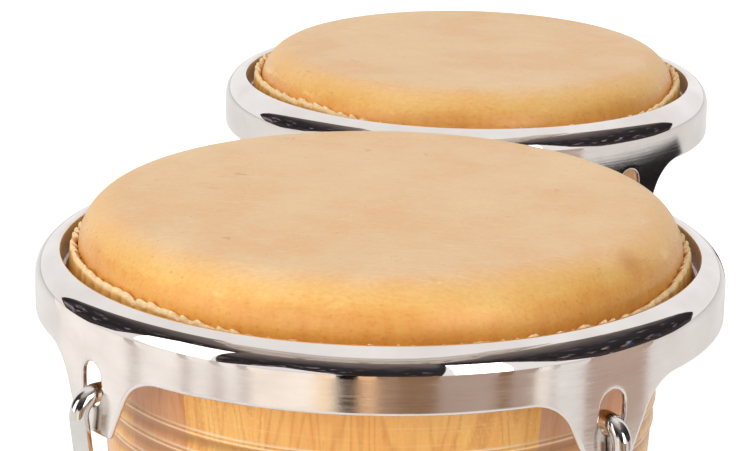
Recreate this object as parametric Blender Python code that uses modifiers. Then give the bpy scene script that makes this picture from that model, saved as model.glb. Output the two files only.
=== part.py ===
"""A pair of bongos: a larger drum (hembra) and a smaller one (macho) on a centre block.

Metres, +Z up. X runs from the macho to the hembra, Z = 0 is what the drums stand on, and the
origin is the middle of the pair's footprint. Each drum is a tapered stave shell whose rawhide
head is wrapped on a steel flesh hoop and drawn down by a chromed rim. Hooked tension rods hang
from slots in the rim's lugs and end in nuts below the ears of a steel ring under the shell.
"""

import math
from dataclasses import dataclass

import bmesh
import bpy
from mathutils import Matrix, Vector

MM = 0.001

# Fits
CONTACT_GAP = 0.3 * MM  # between pieces that touch
MERGE = 0.01 * MM  # for the points of a turned shape that meet on its axis
OVERRUN = 5.0 * MM  # how far a cutter passes the faces it cuts through
CREASE_ANGLE = math.radians(35)  # steeper edges look crisp
EDGE_ANGLE = math.radians(60)  # steeper edges of the block are eased

# The pair
DRUM_SPACING = 262.4 * MM  # between the drums' axes
LUG_COUNT = 4
FIRST_LUG = math.radians(47.2)  # the lugs leave the block's side free
ROUND_STEPS = 40  # facets round a drum, a multiple of twice LUG_COUNT
BEND_STEPS = 3  # facets in a quarter bend of a profile or rod

# Shell
SHELL_HEIGHT = 165.0 * MM
SHELL_WALL = 15.0 * MM
HEMBRA_HEAD_RADIUS = 110.0 * MM  # outside of the shell's top
MACHO_HEAD_RADIUS = 92.6 * MM
BEARING_RADIUS = 14.5 * MM  # rounding of the edge that the head is drawn over
WAIST_INSET = 5.2 * MM  # how much narrower the shell is at its first groove
FOOT_INSET = 12.0 * MM  # how much narrower the shell is at its foot
GROOVE_DROP = 62.2 * MM  # first turned groove below the shell's top
GROOVE_PITCH = 8.3 * MM
GROOVE_WIDTH = 3.0 * MM
GROOVE_DEPTH = 0.9 * MM
GROOVE_COUNT = 3

# Head and flesh hoop
HEMBRA_HEAD_RISE = 18.0 * MM  # head's top above the rim's top
MACHO_HEAD_RISE = 13.0 * MM
SKIN = 2.0 * MM
HOOP_WIRE_RADIUS = 3.2 * MM
HOOP_SIDES = 8
WRAP_STEPS = HOOP_SIDES * 3 // 4  # facets of the skin round the hoop, in line with its own
RUFFLE_HEIGHT = 11.0 * MM  # cut edge of the skin, standing above the wrapped hoop
RUFFLE_CLEARANCE = 0.6 * MM  # between it and the rim's lip

# Rim
RIM_WALL = 2.2 * MM
RIM_SHOULDER = 9.7 * MM  # radius of the rounded top, from the inner edge out to the skirt
RIM_EDGE = 0.9 * MM  # rounding of the inner edge
RIM_THROAT = 12.0 * MM  # depth of the inner wall, down to the hoop
RIM_LIP = 2.4 * MM  # inward turn of the inner wall, over the hoop
SKIRT_DEPTH = 22.4 * MM  # skirt between the lugs, below the rim's top
LUG_DEPTH = 47.5 * MM
LUG_HALF_WIDTH = 10.3 * MM  # at the lug's bottom
LUG_FLARE = math.radians(26)  # slope of the lug's sides from upright
LUG_CORNER = 1.5 * MM
ARCH_RADIUS = 18.0 * MM  # fillet between lug and skirt
SLOT_DROP = 21.4 * MM  # top of the slot below the rim's top
SLOT_WIDTH = 11.6 * MM
SLOT_LENGTH = 16.3 * MM

# Tension rods, washers and nuts
ROD_RADIUS = 3.5 * MM
THREAD_RADIUS = 3.95 * MM
THREAD_LENGTH = 40.0 * MM
HOOK_BEND = 7.5 * MM  # radius of the outer bend, at the rod's middle
HOOK_SET_IN = 2.3 * MM  # centre of the outer bend, inside the lug's outer face
HOOK_REACH = 1.0 * MM  # level run behind the lug
TIP_BEND = 5.0 * MM  # radius of the bend down to the tip
TIP_TURN = 60  # degrees that the tip turns down
TIP_LENGTH = 2.0 * MM
ROD_STEPS = 2  # bevel resolution of the rod's round section
ROD_PAST_NUT = 2.5 * MM
WASHER_RADIUS = 8.0 * MM
WASHER_THICKNESS = 1.6 * MM
NUT_ACROSS_FLATS = 13.0 * MM
NUT_HEIGHT = 9.0 * MM
SMALL_STEPS = 12  # facets round a washer, a bore or a bolt

# Bottom ring
RING_HEIGHT = 28.0 * MM
RING_WALL = 2.5 * MM
RING_FLOOR = 2.5 * MM
RING_LEDGE = 9.0 * MM  # how far the floor reaches in below the shell's wall
EAR_DROP = 7.0 * MM  # middle of the rod's hole below the ring's top
EAR_REACH = 20.0 * MM  # middle of the rod's hole outside the ring's wall
EAR_THICKNESS = 4.0 * MM
EAR_END_RADIUS = 9.5 * MM
EAR_ROOT_HALF_WIDTH = 17.0 * MM
EAR_HOLE_CLEARANCE = 0.6 * MM

# Centre block and what bolts it to the shells
BLOCK_WIDTH = 76.0 * MM
BLOCK_HEIGHT = 58.0 * MM
BLOCK_BASE = 40.0 * MM  # underside of the block above the ground
BLOCK_EDGE = 2.0 * MM  # width of its eased edges
BOLT_RADIUS = 4.0 * MM
BOLT_PITCH = 30.0 * MM
BOLT_IN_BLOCK = 22.0 * MM
BOLT_HEAD_HEIGHT = 5.3 * MM
INSERT_WALL = 1.6 * MM
INSERT_LENGTH = 18.0 * MM
INSERT_DEPTH = 2.0 * MM  # insert below the block's hollowed face
PLATE_THICKNESS = 2.5 * MM
PLATE_STEPS = 2  # facets of the shell that a backing plate spans
PLATE_MARGIN = 14.0 * MM  # plate beyond the outer bolts

COLOURS = {  # sRGB colour, metallic, roughness
    "lacquered_wood": ("E3A65B", 0.0, 0.3),
    "rawhide": ("E6C29A", 0.0, 0.55),
    "chrome": ("DAD8D6", 1.0, 0.12),
    "zinc_steel": ("B9B7B2", 1.0, 0.35),
    "block_wood": ("D69B55", 0.0, 0.35),
    "brass": ("C9A24F", 1.0, 0.3),
}


@dataclass
class Drum:
    """One drum: its own sizes, and the places that follow from them and the sizes above."""

    name: str
    side: int  # +1 where the drum stands at +X, -1 at -X
    head_radius: float  # outside of the shell's top
    head_rise: float  # head's top above the rim's top

    @property
    def shell_base(self):
        return RING_FLOOR + CONTACT_GAP

    @property
    def shell_top(self):
        return self.shell_base + SHELL_HEIGHT

    @property
    def head_top(self):
        return self.shell_top + CONTACT_GAP + SKIN

    @property
    def rim_top(self):
        return self.head_top - self.head_rise

    @property
    def collar_radius(self):
        return self.head_radius + CONTACT_GAP + SKIN

    @property
    def hoop_radius(self):
        """Middle of the flesh hoop's wire."""
        return self.collar_radius + CONTACT_GAP + HOOP_WIRE_RADIUS

    @property
    def wrap_radius(self):
        """Outside of the skin round the wire."""
        return HOOP_WIRE_RADIUS + CONTACT_GAP + SKIN

    @property
    def hoop_height(self):
        return self.rim_top - RIM_THROAT - CONTACT_GAP - self.wrap_radius

    @property
    def rim_inner(self):
        return self.hoop_radius + HOOP_WIRE_RADIUS

    @property
    def rim_outer(self):
        return self.rim_inner + RIM_SHOULDER

    @property
    def edge_radius(self):
        """Middle of the skin's standing edge, clear of the rim's lip."""
        return self.rim_inner - RIM_LIP - RUFFLE_CLEARANCE - SKIN / 2

    @property
    def ring_outer(self):
        """Outside of the bottom ring at its top."""
        return self.shell_radius(RING_HEIGHT) + CONTACT_GAP + RING_WALL

    @property
    def ear_radius(self):
        return self.ring_outer + EAR_REACH

    @property
    def waist_height(self):
        return self.shell_top - GROOVE_DROP

    @property
    def bearing_height(self):
        """Where the rounding of the shell's top begins."""
        return self.shell_top - BEARING_RADIUS

    def shell_radius(self, height):
        """Outside of the shell, which tapers to its first groove and on to its foot."""
        waist = self.head_radius - WAIST_INSET
        foot = self.head_radius - FOOT_INSET
        if height > self.waist_height:
            share = (height - self.waist_height) / (self.bearing_height - self.waist_height)
            return waist + min(share, 1.0) * WAIST_INSET
        share = (height - self.shell_base) / (self.waist_height - self.shell_base)
        return foot + share * (waist - foot)

    def bore_radius(self, height):
        """Inside of the shell, a straight taper."""
        share = (height - self.shell_base) / SHELL_HEIGHT
        return self.head_radius - SHELL_WALL - (1 - share) * FOOT_INSET


HEMBRA = Drum("hembra", side=1, head_radius=HEMBRA_HEAD_RADIUS, head_rise=HEMBRA_HEAD_RISE)
MACHO = Drum("macho", side=-1, head_radius=MACHO_HEAD_RADIUS, head_rise=MACHO_HEAD_RISE)


def drum_x(drum):
    """The axis of a drum, with the pair's footprint centred on the origin."""
    wider = HEMBRA.rim_outer - MACHO.rim_outer
    return (drum.side * DRUM_SPACING - wider) / 2


def clear_scene():
    for obj in list(bpy.data.objects):
        bpy.data.objects.remove(obj, do_unlink=True)


def new_collection(name):
    collection = bpy.data.collections.new(name)
    bpy.context.scene.collection.children.link(collection)
    return collection


clear_scene()
PARTS = new_collection("bongos")
CUTTERS = new_collection("cutters")
CUTTERS.hide_render = True


def linear(channel):
    return channel / 12.92 if channel <= 0.04045 else ((channel + 0.055) / 1.055) ** 2.4


def make_material(name):
    colour, metallic, roughness = COLOURS[name]
    rgb = [linear(int(colour[i : i + 2], 16) / 255) for i in (0, 2, 4)]
    material = bpy.data.materials.new(name)
    material.use_nodes = True
    shader = material.node_tree.nodes["Principled BSDF"]
    shader.inputs["Base Color"].default_value = (*rgb, 1)
    shader.inputs["Metallic"].default_value = metallic
    shader.inputs["Roughness"].default_value = roughness
    material.diffuse_color = (*rgb, 1)
    return material


MATERIALS = {name: make_material(name) for name in COLOURS}


def finish(obj, material):
    """Gives a piece its material and smooth shading with crisp edges."""
    if obj.type == "MESH":
        obj.data.shade_smooth()
        obj.data.set_sharp_from_angle(angle=CREASE_ANGLE)
    obj.data.materials.clear()
    obj.data.materials.append(MATERIALS[material])
    return obj


def add_object(name, data, parent=None, cutter=False):
    obj = bpy.data.objects.new(name, data)
    (CUTTERS if cutter else PARTS).objects.link(obj)
    obj.parent = parent
    if cutter:
        obj.hide_render = True
        obj.display_type = "WIRE"
    return obj


def add_empty(name, location, parent=None):
    empty = add_object(name, None, parent)
    empty.empty_display_size = 10 * MM
    empty.location = location
    return empty


def profile_mesh(name, points, closed):
    """Edges in the XZ plane through (radius, height) points."""
    mesh = bpy.data.meshes.new(name)
    edges = [(i, i + 1) for i in range(len(points) - 1)]
    if closed:
        edges.append((len(points) - 1, 0))
    mesh.from_pydata([(x, 0, z) for x, z in points], edges, [])
    return mesh


def turned(name, points, parent=None, closed=True, steps=ROUND_STEPS, cutter=False):
    """A profile turned about the object's Z axis. Its points run down the outer side."""
    obj = add_object(name, profile_mesh(name, points, closed), parent, cutter)
    screw = obj.modifiers.new("turn", "SCREW")
    screw.angle = math.tau
    screw.steps = steps
    screw.render_steps = steps
    screw.use_merge_vertices = True
    screw.merge_threshold = MERGE
    return obj


def prism(name, outline, bottom, top, parent=None, cutter=False):
    """A flat outline in the XY plane, extruded from one height to another."""
    shape = bmesh.new()
    corners = [shape.verts.new((x, y, bottom)) for x, y in outline]
    face = shape.faces.new(corners)
    grown = bmesh.ops.extrude_face_region(shape, geom=[face])
    raised = [item for item in grown["geom"] if isinstance(item, bmesh.types.BMVert)]
    bmesh.ops.translate(shape, verts=raised, vec=(0, 0, top - bottom))
    bmesh.ops.recalc_face_normals(shape, faces=shape.faces)
    mesh = bpy.data.meshes.new(name)
    shape.to_mesh(mesh)
    shape.free()
    return add_object(name, mesh, parent, cutter)


def cylinder(name, radius, bottom, top, parent=None, sides=SMALL_STEPS, cutter=False):
    """A cylinder or regular prism on the object's Z axis."""
    shape = bmesh.new()
    bmesh.ops.create_cone(
        shape,
        cap_ends=True,
        segments=sides,
        radius1=radius,
        radius2=radius,
        depth=top - bottom,
        matrix=Matrix.Translation((0, 0, (top + bottom) / 2)),
    )
    mesh = bpy.data.meshes.new(name)
    shape.to_mesh(mesh)
    shape.free()
    return add_object(name, mesh, parent, cutter)


def box(name, size, centre, parent=None, cutter=False):
    shape = bmesh.new()
    bmesh.ops.create_cube(shape, size=1, matrix=Matrix.Translation(centre) @ Matrix.Diagonal((*size, 1)))
    mesh = bpy.data.meshes.new(name)
    shape.to_mesh(mesh)
    shape.free()
    return add_object(name, mesh, parent, cutter)


def boolean(obj, other, operation):
    modifier = obj.modifiers.new(f"{operation.lower()} {other.name}", "BOOLEAN")
    modifier.operation = operation
    modifier.object = other
    modifier.solver = "EXACT"


def joined_copies(obj, matrices):
    """Makes the object's mesh hold one copy of itself for each matrix, as separate bodies."""
    shape = bmesh.new()
    for matrix in matrices:
        start = len(shape.verts)
        shape.from_mesh(obj.data)
        shape.verts.ensure_lookup_table()
        bmesh.ops.transform(shape, matrix=matrix, verts=shape.verts[start:])
    shape.to_mesh(obj.data)
    shape.free()
    return obj


def evaluated_mesh(obj):
    """The object's mesh with its modifiers worked in, for copies to share."""
    bpy.context.view_layer.update()
    graph = bpy.context.evaluated_depsgraph_get()
    return bpy.data.meshes.new_from_object(obj.evaluated_get(graph))


def arc(centre, radius, start, end, steps=BEND_STEPS):
    """Points on an arc about (x, z) from one angle in degrees to another, both ends in."""
    angles = [math.radians(start + (end - start) * i / steps) for i in range(steps + 1)]
    return [(centre[0] + radius * math.cos(a), centre[1] + radius * math.sin(a)) for a in angles]


def lug_turns():
    """A turn about Z to each lug, from +X."""
    step = math.tau / LUG_COUNT
    return [Matrix.Rotation(FIRST_LUG + step * i, 4, "Z") for i in range(LUG_COUNT)]


def shell_envelope(drum, offset):
    """Profile of the shell's outside without its grooves, moved outwards by an offset."""
    return [
        (0, drum.shell_top),
        (drum.head_radius + offset, drum.shell_top),
        (drum.head_radius + offset, drum.bearing_height),
        (drum.shell_radius(drum.waist_height) + offset, drum.waist_height),
        (drum.shell_radius(drum.shell_base) + offset, drum.shell_base),
        (drum.shell_radius(drum.shell_base) + offset, -OVERRUN),
        (0, -OVERRUN),
    ]


def bolt_heights():
    middle = BLOCK_BASE + BLOCK_HEIGHT / 2
    return {"lower": middle - BOLT_PITCH / 2, "upper": middle + BOLT_PITCH / 2}


def block_turn(drum):
    """Turns +Z to the direction from a drum's axis to the block."""
    return Matrix.Rotation(-drum.side * math.pi / 2, 4, "Y")


def make_shell(drum, stand):
    """The stave shell: rounded bearing edge, turned grooves and two bolt holes."""
    bearing = (drum.head_radius - BEARING_RADIUS, drum.bearing_height)
    outside = arc(bearing, BEARING_RADIUS, 90, 0)
    for i in range(GROOVE_COUNT):
        middle = drum.waist_height - i * GROOVE_PITCH
        for offset, depth in ((GROOVE_WIDTH / 2, 0), (0, GROOVE_DEPTH), (-GROOVE_WIDTH / 2, 0)):
            outside.append((drum.shell_radius(middle + offset) - depth, middle + offset))
    outside.append((drum.shell_radius(drum.shell_base), drum.shell_base))
    inside = [(drum.bore_radius(height), height) for height in (drum.shell_base, drum.shell_top)]
    shell = turned(f"{drum.name}_shell", outside + inside, stand)
    for place, height in bolt_heights().items():
        hole = cylinder(
            f"{drum.name}_bolt_hole_{place}",
            BOLT_RADIUS + CONTACT_GAP,
            0,
            drum.head_radius + OVERRUN,
            stand,
            cutter=True,
        )
        hole.matrix_local = Matrix.Translation((0, 0, height)) @ block_turn(drum)
        boolean(shell, hole, "DIFFERENCE")
    return finish(shell, "lacquered_wood")


def make_head(drum, stand):
    """The rawhide: flat top, rounded shoulder, collar, wrap round the hoop and standing edge."""
    half = SKIN / 2
    bearing = (drum.head_radius - BEARING_RADIUS, drum.bearing_height)
    path = [(0, drum.head_top - half)]
    path += arc(bearing, BEARING_RADIUS + CONTACT_GAP + half, 90, 0)
    wire = (drum.hoop_radius, drum.hoop_height)
    path += arc(wire, drum.wrap_radius - half, 180, 360 + 90, WRAP_STEPS)
    wrap_top = path[-1][1]
    path += [(drum.edge_radius, wrap_top), (drum.edge_radius, wrap_top + RUFFLE_HEIGHT)]
    head = turned(f"{drum.name}_head", path, stand, closed=False)
    thickness = head.modifiers.new("thickness", "SOLIDIFY")
    thickness.thickness = SKIN
    thickness.offset = 0
    thickness.use_even_offset = True
    return finish(head, "rawhide")


def make_hoop(drum, stand):
    """The wire ring that the skin is wrapped on."""
    wire = arc((drum.hoop_radius, drum.hoop_height), HOOP_WIRE_RADIUS, 360, 0, HOOP_SIDES)
    return finish(turned(f"{drum.name}_flesh_hoop", wire[:-1], stand), "zinc_steel")


def lug_outline():
    """Half of a lug seen from outside, as (across, below the rim's top), from the skirt down."""
    slope = math.tan(LUG_FLARE)
    centre_drop = SKIRT_DEPTH + ARCH_RADIUS
    tangent_drop = centre_drop - ARCH_RADIUS * math.sin(LUG_FLARE)
    tangent_across = LUG_HALF_WIDTH + (LUG_DEPTH - tangent_drop) * slope
    centre_across = tangent_across + ARCH_RADIUS * math.cos(LUG_FLARE)
    outline = [(centre_across, SKIRT_DEPTH - OVERRUN)]
    end = 180 - math.degrees(LUG_FLARE)
    for x, z in arc((centre_across, -centre_drop), ARCH_RADIUS, 90, end):
        outline.append((x, -z))
    outline.append((LUG_HALF_WIDTH + LUG_CORNER * slope, LUG_DEPTH - LUG_CORNER))
    outline.append((LUG_HALF_WIDTH - LUG_CORNER, LUG_DEPTH))
    return outline


def slot_outline():
    """The slot seen from outside, as (across, below the rim's top)."""
    radius = SLOT_WIDTH / 2
    top = SLOT_DROP + radius
    bottom = SLOT_DROP + SLOT_LENGTH - radius
    steps = 2 * BEND_STEPS + 2
    return arc((0, top), radius, 180, 360, steps) + arc((0, bottom), radius, 0, 180, steps)


def outward_prisms(name, outline, drum, parent):
    """Prisms along each lug's radius, from an outline of (across, below the rim's top)."""
    shape = prism(name, outline, drum.head_radius, drum.rim_outer + OVERRUN, parent, cutter=True)
    lay_out = Matrix(((0, 0, 1, 0), (-1, 0, 0, 0), (0, -1, 0, 0), (0, 0, 0, 1)))
    return joined_copies(shape, [turn @ lay_out for turn in lug_turns()])


def make_rim(drum, stand):
    """The pressed rim: inner wall with a lip, rounded shoulder, and a skirt with slotted lugs."""
    inner, outer = drum.rim_inner, drum.rim_outer
    middle = (inner, -RIM_SHOULDER)
    inside_radius = RIM_SHOULDER - RIM_WALL
    start = math.degrees(math.asin(RIM_EDGE / RIM_SHOULDER))
    back = math.degrees(math.acos(RIM_WALL / inside_radius))
    profile = [(inner, -RIM_EDGE)]
    profile += arc(middle, RIM_SHOULDER, 90 - start, 0)
    profile += [(outer, -LUG_DEPTH - OVERRUN), (outer - RIM_WALL, -LUG_DEPTH - OVERRUN)]
    profile += arc(middle, inside_radius, 0, back)
    profile += [
        (inner + RIM_WALL, -RIM_THROAT),
        (inner - RIM_LIP, -RIM_THROAT),
        (inner - RIM_LIP, RIM_WALL - RIM_THROAT),
        (inner, RIM_WALL - RIM_THROAT),
    ]
    rim = turned(f"{drum.name}_rim", profile, stand)
    rim.location.z = drum.rim_top

    half = lug_outline()
    mirrored = [(-x, drop) for x, drop in reversed(half)]
    lugs = outward_prisms(f"{drum.name}_lug_guide", half + mirrored, drum, rim)
    below = cylinder(
        f"{drum.name}_skirt_cutter",
        drum.rim_outer + 2 * OVERRUN,
        -LUG_DEPTH - 2 * OVERRUN,
        -SKIRT_DEPTH,
        rim,
        sides=ROUND_STEPS,
        cutter=True,
    )
    boolean(below, lugs, "DIFFERENCE")
    boolean(rim, below, "DIFFERENCE")
    slots = outward_prisms(f"{drum.name}_slot_cutter", slot_outline(), drum, rim)
    boolean(rim, slots, "DIFFERENCE")
    return finish(rim, "chrome")


@dataclass
class RodLine:
    """The rod in its lug's upright plane, as (radius, height): hook centre, ear hole and lean."""

    bend: Vector
    ear: Vector
    tangent: Vector
    lean: float


def rod_line(drum):
    """The bend's inner side hangs on the slot's bottom edge, and the straight part runs off it."""
    slot_bottom = drum.rim_top - SLOT_DROP - SLOT_LENGTH
    inner_bend = HOOK_BEND - ROD_RADIUS
    bend_height = slot_bottom + CONTACT_GAP - math.sqrt(inner_bend**2 - HOOK_SET_IN**2)
    bend = Vector((drum.rim_outer - HOOK_SET_IN, bend_height))
    ear = Vector((drum.ear_radius, RING_HEIGHT - EAR_DROP))
    reach = ear - bend
    angle = math.atan2(reach.y, reach.x) + math.acos(HOOK_BEND / reach.length)
    tangent = bend + HOOK_BEND * Vector((math.cos(angle), math.sin(angle)))
    lean = math.atan2(tangent.x - ear.x, tangent.y - ear.y)
    return RodLine(bend, ear, tangent, lean)


def rod_stations():
    """Heights along the rod from the ear's middle: washer, nut and the rod's lower end."""
    washer_top = -EAR_THICKNESS / 2 - CONTACT_GAP
    nut_top = washer_top - WASHER_THICKNESS - CONTACT_GAP
    nut_bottom = nut_top - NUT_HEIGHT
    return washer_top, nut_top, nut_bottom, nut_bottom - ROD_PAST_NUT


def rod_points(drum):
    """The rod's middle line in its own frame, with each point's radius, from its lower end."""
    line = rod_line(drum)
    end = rod_stations()[-1]
    thread_end = end + THREAD_LENGTH
    points = [(0, end, THREAD_RADIUS), (0, thread_end, THREAD_RADIUS)]
    points.append((0, thread_end + THREAD_RADIUS - ROD_RADIUS, ROD_RADIUS))

    level = line.bend.y + HOOK_BEND
    inner = Vector((line.bend.x - HOOK_REACH, level - TIP_BEND))
    lean = math.degrees(line.lean)
    path = arc(line.bend, HOOK_BEND, -lean, 90, BEND_STEPS + 1)
    path += arc(inner, TIP_BEND, 90, 90 + TIP_TURN)
    down = math.radians(90 + TIP_TURN)
    tip = Vector(path[-1]) + TIP_LENGTH * Vector((-math.sin(down), math.cos(down)))
    path.append(tuple(tip))
    sine, cosine = math.sin(line.lean), math.cos(line.lean)
    for radius, height in path:
        out, up = radius - line.ear.x, height - line.ear.y
        points.append((out * cosine - up * sine, out * sine + up * cosine, ROD_RADIUS))
    return points


def rod_curve(drum):
    curve = bpy.data.curves.new(f"{drum.name}_tension_rod", "CURVE")
    curve.dimensions = "3D"
    curve.bevel_depth = ROD_RADIUS
    curve.bevel_resolution = ROD_STEPS
    curve.use_fill_caps = True
    points = rod_points(drum)
    spline = curve.splines.new("POLY")
    spline.points.add(len(points) - 1)
    for point, (x, z, radius) in zip(spline.points, points):
        point.co = (x, 0, z, 1)
        point.radius = radius / ROD_RADIUS
    return curve


def nut_mesh():
    """A hexagon nut, standing from its seat down."""
    blank = cylinder("nut_blank", hexagon_corner(), -NUT_HEIGHT, 0, sides=6, cutter=True)
    bore = THREAD_RADIUS + CONTACT_GAP
    boolean(blank, cylinder("nut_bore", bore, -NUT_HEIGHT - OVERRUN, OVERRUN, cutter=True), "DIFFERENCE")
    return evaluated_mesh(blank)


def washer_mesh():
    inner = THREAD_RADIUS + CONTACT_GAP
    points = [
        (WASHER_RADIUS, 0),
        (WASHER_RADIUS, -WASHER_THICKNESS),
        (inner, -WASHER_THICKNESS),
        (inner, 0),
    ]
    return evaluated_mesh(turned("washer_blank", points, steps=SMALL_STEPS, cutter=True))


def rod_frame(drum, turn):
    """A lug's rod: origin at the middle of its ear's hole, +Z up along the rod."""
    line = rod_line(drum)
    lean = Matrix.Rotation(line.lean, 4, "Y")
    return turn @ Matrix.Translation((line.ear.x, 0, line.ear.y)) @ lean


def make_rods(drum, stand):
    """Each lug's rod, washer and nut, on an empty that stands on the rod's axis."""
    curve, washer, nut = rod_curve(drum), washer_mesh(), nut_mesh()
    washer_top, nut_top = rod_stations()[:2]
    for number, turn in enumerate(lug_turns(), start=1):
        axis = add_empty(f"{drum.name}_rod_axis_{number}", (0, 0, 0), stand)
        axis.matrix_local = rod_frame(drum, turn)
        finish(add_object(f"{drum.name}_tension_rod_{number}", curve, axis), "chrome")
        seat = add_object(f"{drum.name}_washer_{number}", washer, axis)
        seat.location.z = washer_top
        finish(seat, "zinc_steel")
        tuner = add_object(f"{drum.name}_tuning_nut_{number}", nut, axis)
        tuner.location.z = nut_top
        finish(tuner, "chrome")


def ear_outline():
    """An ear from above, about its hole: a wide root and a round end."""
    root = -EAR_REACH - 2 * RING_WALL
    reach = math.hypot(root, EAR_ROOT_HALF_WIDTH)
    slope = math.atan2(EAR_ROOT_HALF_WIDTH, -root)
    start = math.degrees(slope + math.acos(EAR_END_RADIUS / reach))
    half_turn = 180
    end = arc((0, 0), EAR_END_RADIUS, start - half_turn, half_turn - start, 2 * BEND_STEPS)
    return [(root, -EAR_ROOT_HALF_WIDTH), *end, (root, EAR_ROOT_HALF_WIDTH)]


def make_ring(drum, stand):
    """The steel ring that the shell stands in, with an ear below each lug."""
    foot = drum.shell_radius(drum.shell_base)
    top = drum.shell_radius(RING_HEIGHT) + CONTACT_GAP
    profile = [
        (top + RING_WALL, RING_HEIGHT),
        (foot + CONTACT_GAP + RING_WALL, 0),
        (foot - RING_LEDGE, 0),
        (foot - RING_LEDGE, RING_FLOOR),
        (foot + CONTACT_GAP, RING_FLOOR),
        (top, RING_HEIGHT),
    ]
    ring = turned(f"{drum.name}_bottom_ring", profile, stand)
    frames = [rod_frame(drum, turn) for turn in lug_turns()]
    half = EAR_THICKNESS / 2
    ears = prism(f"{drum.name}_ears", ear_outline(), -half, half, stand, cutter=True)
    joined_copies(ears, frames)
    in_wall = shell_envelope(drum, CONTACT_GAP + RING_WALL / 2)
    trim = turned(f"{drum.name}_ear_trim", in_wall, stand, closed=False, cutter=True)
    boolean(ears, trim, "DIFFERENCE")
    boolean(ring, ears, "UNION")
    hole = THREAD_RADIUS + EAR_HOLE_CLEARANCE
    holes = cylinder(f"{drum.name}_ear_holes", hole, -OVERRUN, OVERRUN, stand, cutter=True)
    boolean(ring, joined_copies(holes, frames), "DIFFERENCE")
    return finish(ring, "chrome")


def hexagon_corner():
    return NUT_ACROSS_FLATS / 2 / math.cos(math.pi / 6)


def bolt_mesh(length):
    """A hexagon bolt: its head stands behind Z = 0 and its shank runs to +Z."""
    head = cylinder("bolt_head", hexagon_corner(), -BOLT_HEAD_HEIGHT, 0, sides=6, cutter=True)
    shank = cylinder("bolt_shank", BOLT_RADIUS, -BOLT_HEAD_HEIGHT / 2, length, cutter=True)
    boolean(head, shank, "UNION")
    return evaluated_mesh(head)


def plate_range():
    heights = bolt_heights()
    return heights["lower"] - PLATE_MARGIN, heights["upper"] + PLATE_MARGIN


def make_fasteners(drum, stand):
    """Inside the shell a curved plate and two bolts, which end in threaded inserts."""
    low, high = plate_range()
    outer = [(drum.bore_radius(z) - CONTACT_GAP, z) for z in (high, low)]
    inner = [(radius - PLATE_THICKNESS, z) for radius, z in reversed(outer)]
    plate = turned(f"{drum.name}_backing_plate", outer + inner, stand)
    reach = drum.head_radius
    across = 2 * reach * math.tan(math.pi * PLATE_STEPS / ROUND_STEPS)
    wedge = box(
        f"{drum.name}_plate_cutter",
        (reach, across, high - low + 2 * OVERRUN),
        (-drum.side * reach / 2, 0, (low + high) / 2),
        stand,
        cutter=True,
    )
    boolean(plate, wedge, "INTERSECT")
    finish(plate, "zinc_steel")

    for place, height in bolt_heights().items():
        # The plate is nearest to the axis below the bolt and at the sides of the bolt's head.
        nearest = drum.bore_radius(height - hexagon_corner()) - CONTACT_GAP - PLATE_THICKNESS
        hollow = hexagon_corner() * math.tan(math.pi / ROUND_STEPS)
        seat = nearest - CONTACT_GAP - hollow
        face = drum.shell_radius(height)
        shank = face + CONTACT_GAP + BOLT_IN_BLOCK - seat
        hole = cylinder(
            f"{drum.name}_plate_hole_{place}",
            BOLT_RADIUS + CONTACT_GAP,
            0,
            reach,
            stand,
            cutter=True,
        )
        hole.matrix_local = Matrix.Translation((0, 0, height)) @ block_turn(drum)
        boolean(plate, hole, "DIFFERENCE")
        bolt = add_object(f"{drum.name}_block_bolt_{place}", bolt_mesh(shank), stand)
        bolt.matrix_local = Matrix.Translation((-drum.side * seat, 0, height)) @ block_turn(drum)
        finish(bolt, "zinc_steel")
        start = face + CONTACT_GAP + INSERT_DEPTH
        bore = BOLT_RADIUS + CONTACT_GAP
        tube = [
            (bore + INSERT_WALL, INSERT_LENGTH),
            (bore + INSERT_WALL, 0),
            (bore, 0),
            (bore, INSERT_LENGTH),
        ]
        insert = turned(f"{drum.name}_block_insert_{place}", tube, stand, steps=SMALL_STEPS)
        insert.matrix_local = Matrix.Translation((-drum.side * start, 0, height)) @ block_turn(drum)
        finish(insert, "brass")


def make_block(stands):
    """The wooden centre block, hollowed to both shells, with a blind hole for each insert."""
    length = DRUM_SPACING
    middle = BLOCK_BASE + BLOCK_HEIGHT / 2
    between = (drum_x(HEMBRA) + drum_x(MACHO)) / 2
    block = box("centre_block", (length, BLOCK_WIDTH, BLOCK_HEIGHT), (0, 0, 0))
    block.location = (between, 0, middle)
    for drum, stand in stands:
        envelope = shell_envelope(drum, CONTACT_GAP)
        cutter = turned(f"{drum.name}_block_cutter", envelope, stand, closed=False, cutter=True)
        boolean(block, cutter, "DIFFERENCE")
    rounding = block.modifiers.new("eased edges", "BEVEL")
    rounding.width = BLOCK_EDGE
    rounding.segments = 1
    rounding.limit_method = "ANGLE"
    rounding.angle_limit = EDGE_ANGLE
    for drum, stand in stands:
        for place, height in bolt_heights().items():
            depth = drum.shell_radius(height) + CONTACT_GAP + BOLT_IN_BLOCK + OVERRUN
            hole = cylinder(
                f"{drum.name}_insert_hole_{place}",
                BOLT_RADIUS + INSERT_WALL + 2 * CONTACT_GAP,
                0,
                depth,
                stand,
                cutter=True,
            )
            hole.matrix_local = Matrix.Translation((0, 0, height)) @ block_turn(drum)
            boolean(block, hole, "DIFFERENCE")
    return finish(block, "block_wood")


def main():
    stands = []
    for drum in (HEMBRA, MACHO):
        stand = add_empty(f"{drum.name}_stand", (drum_x(drum), 0, 0))
        stands.append((drum, stand))
        make_shell(drum, stand)
        make_head(drum, stand)
        make_hoop(drum, stand)
        make_rim(drum, stand)
        make_ring(drum, stand)
        make_rods(drum, stand)
        make_fasteners(drum, stand)
    make_block(stands)


main()
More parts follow.
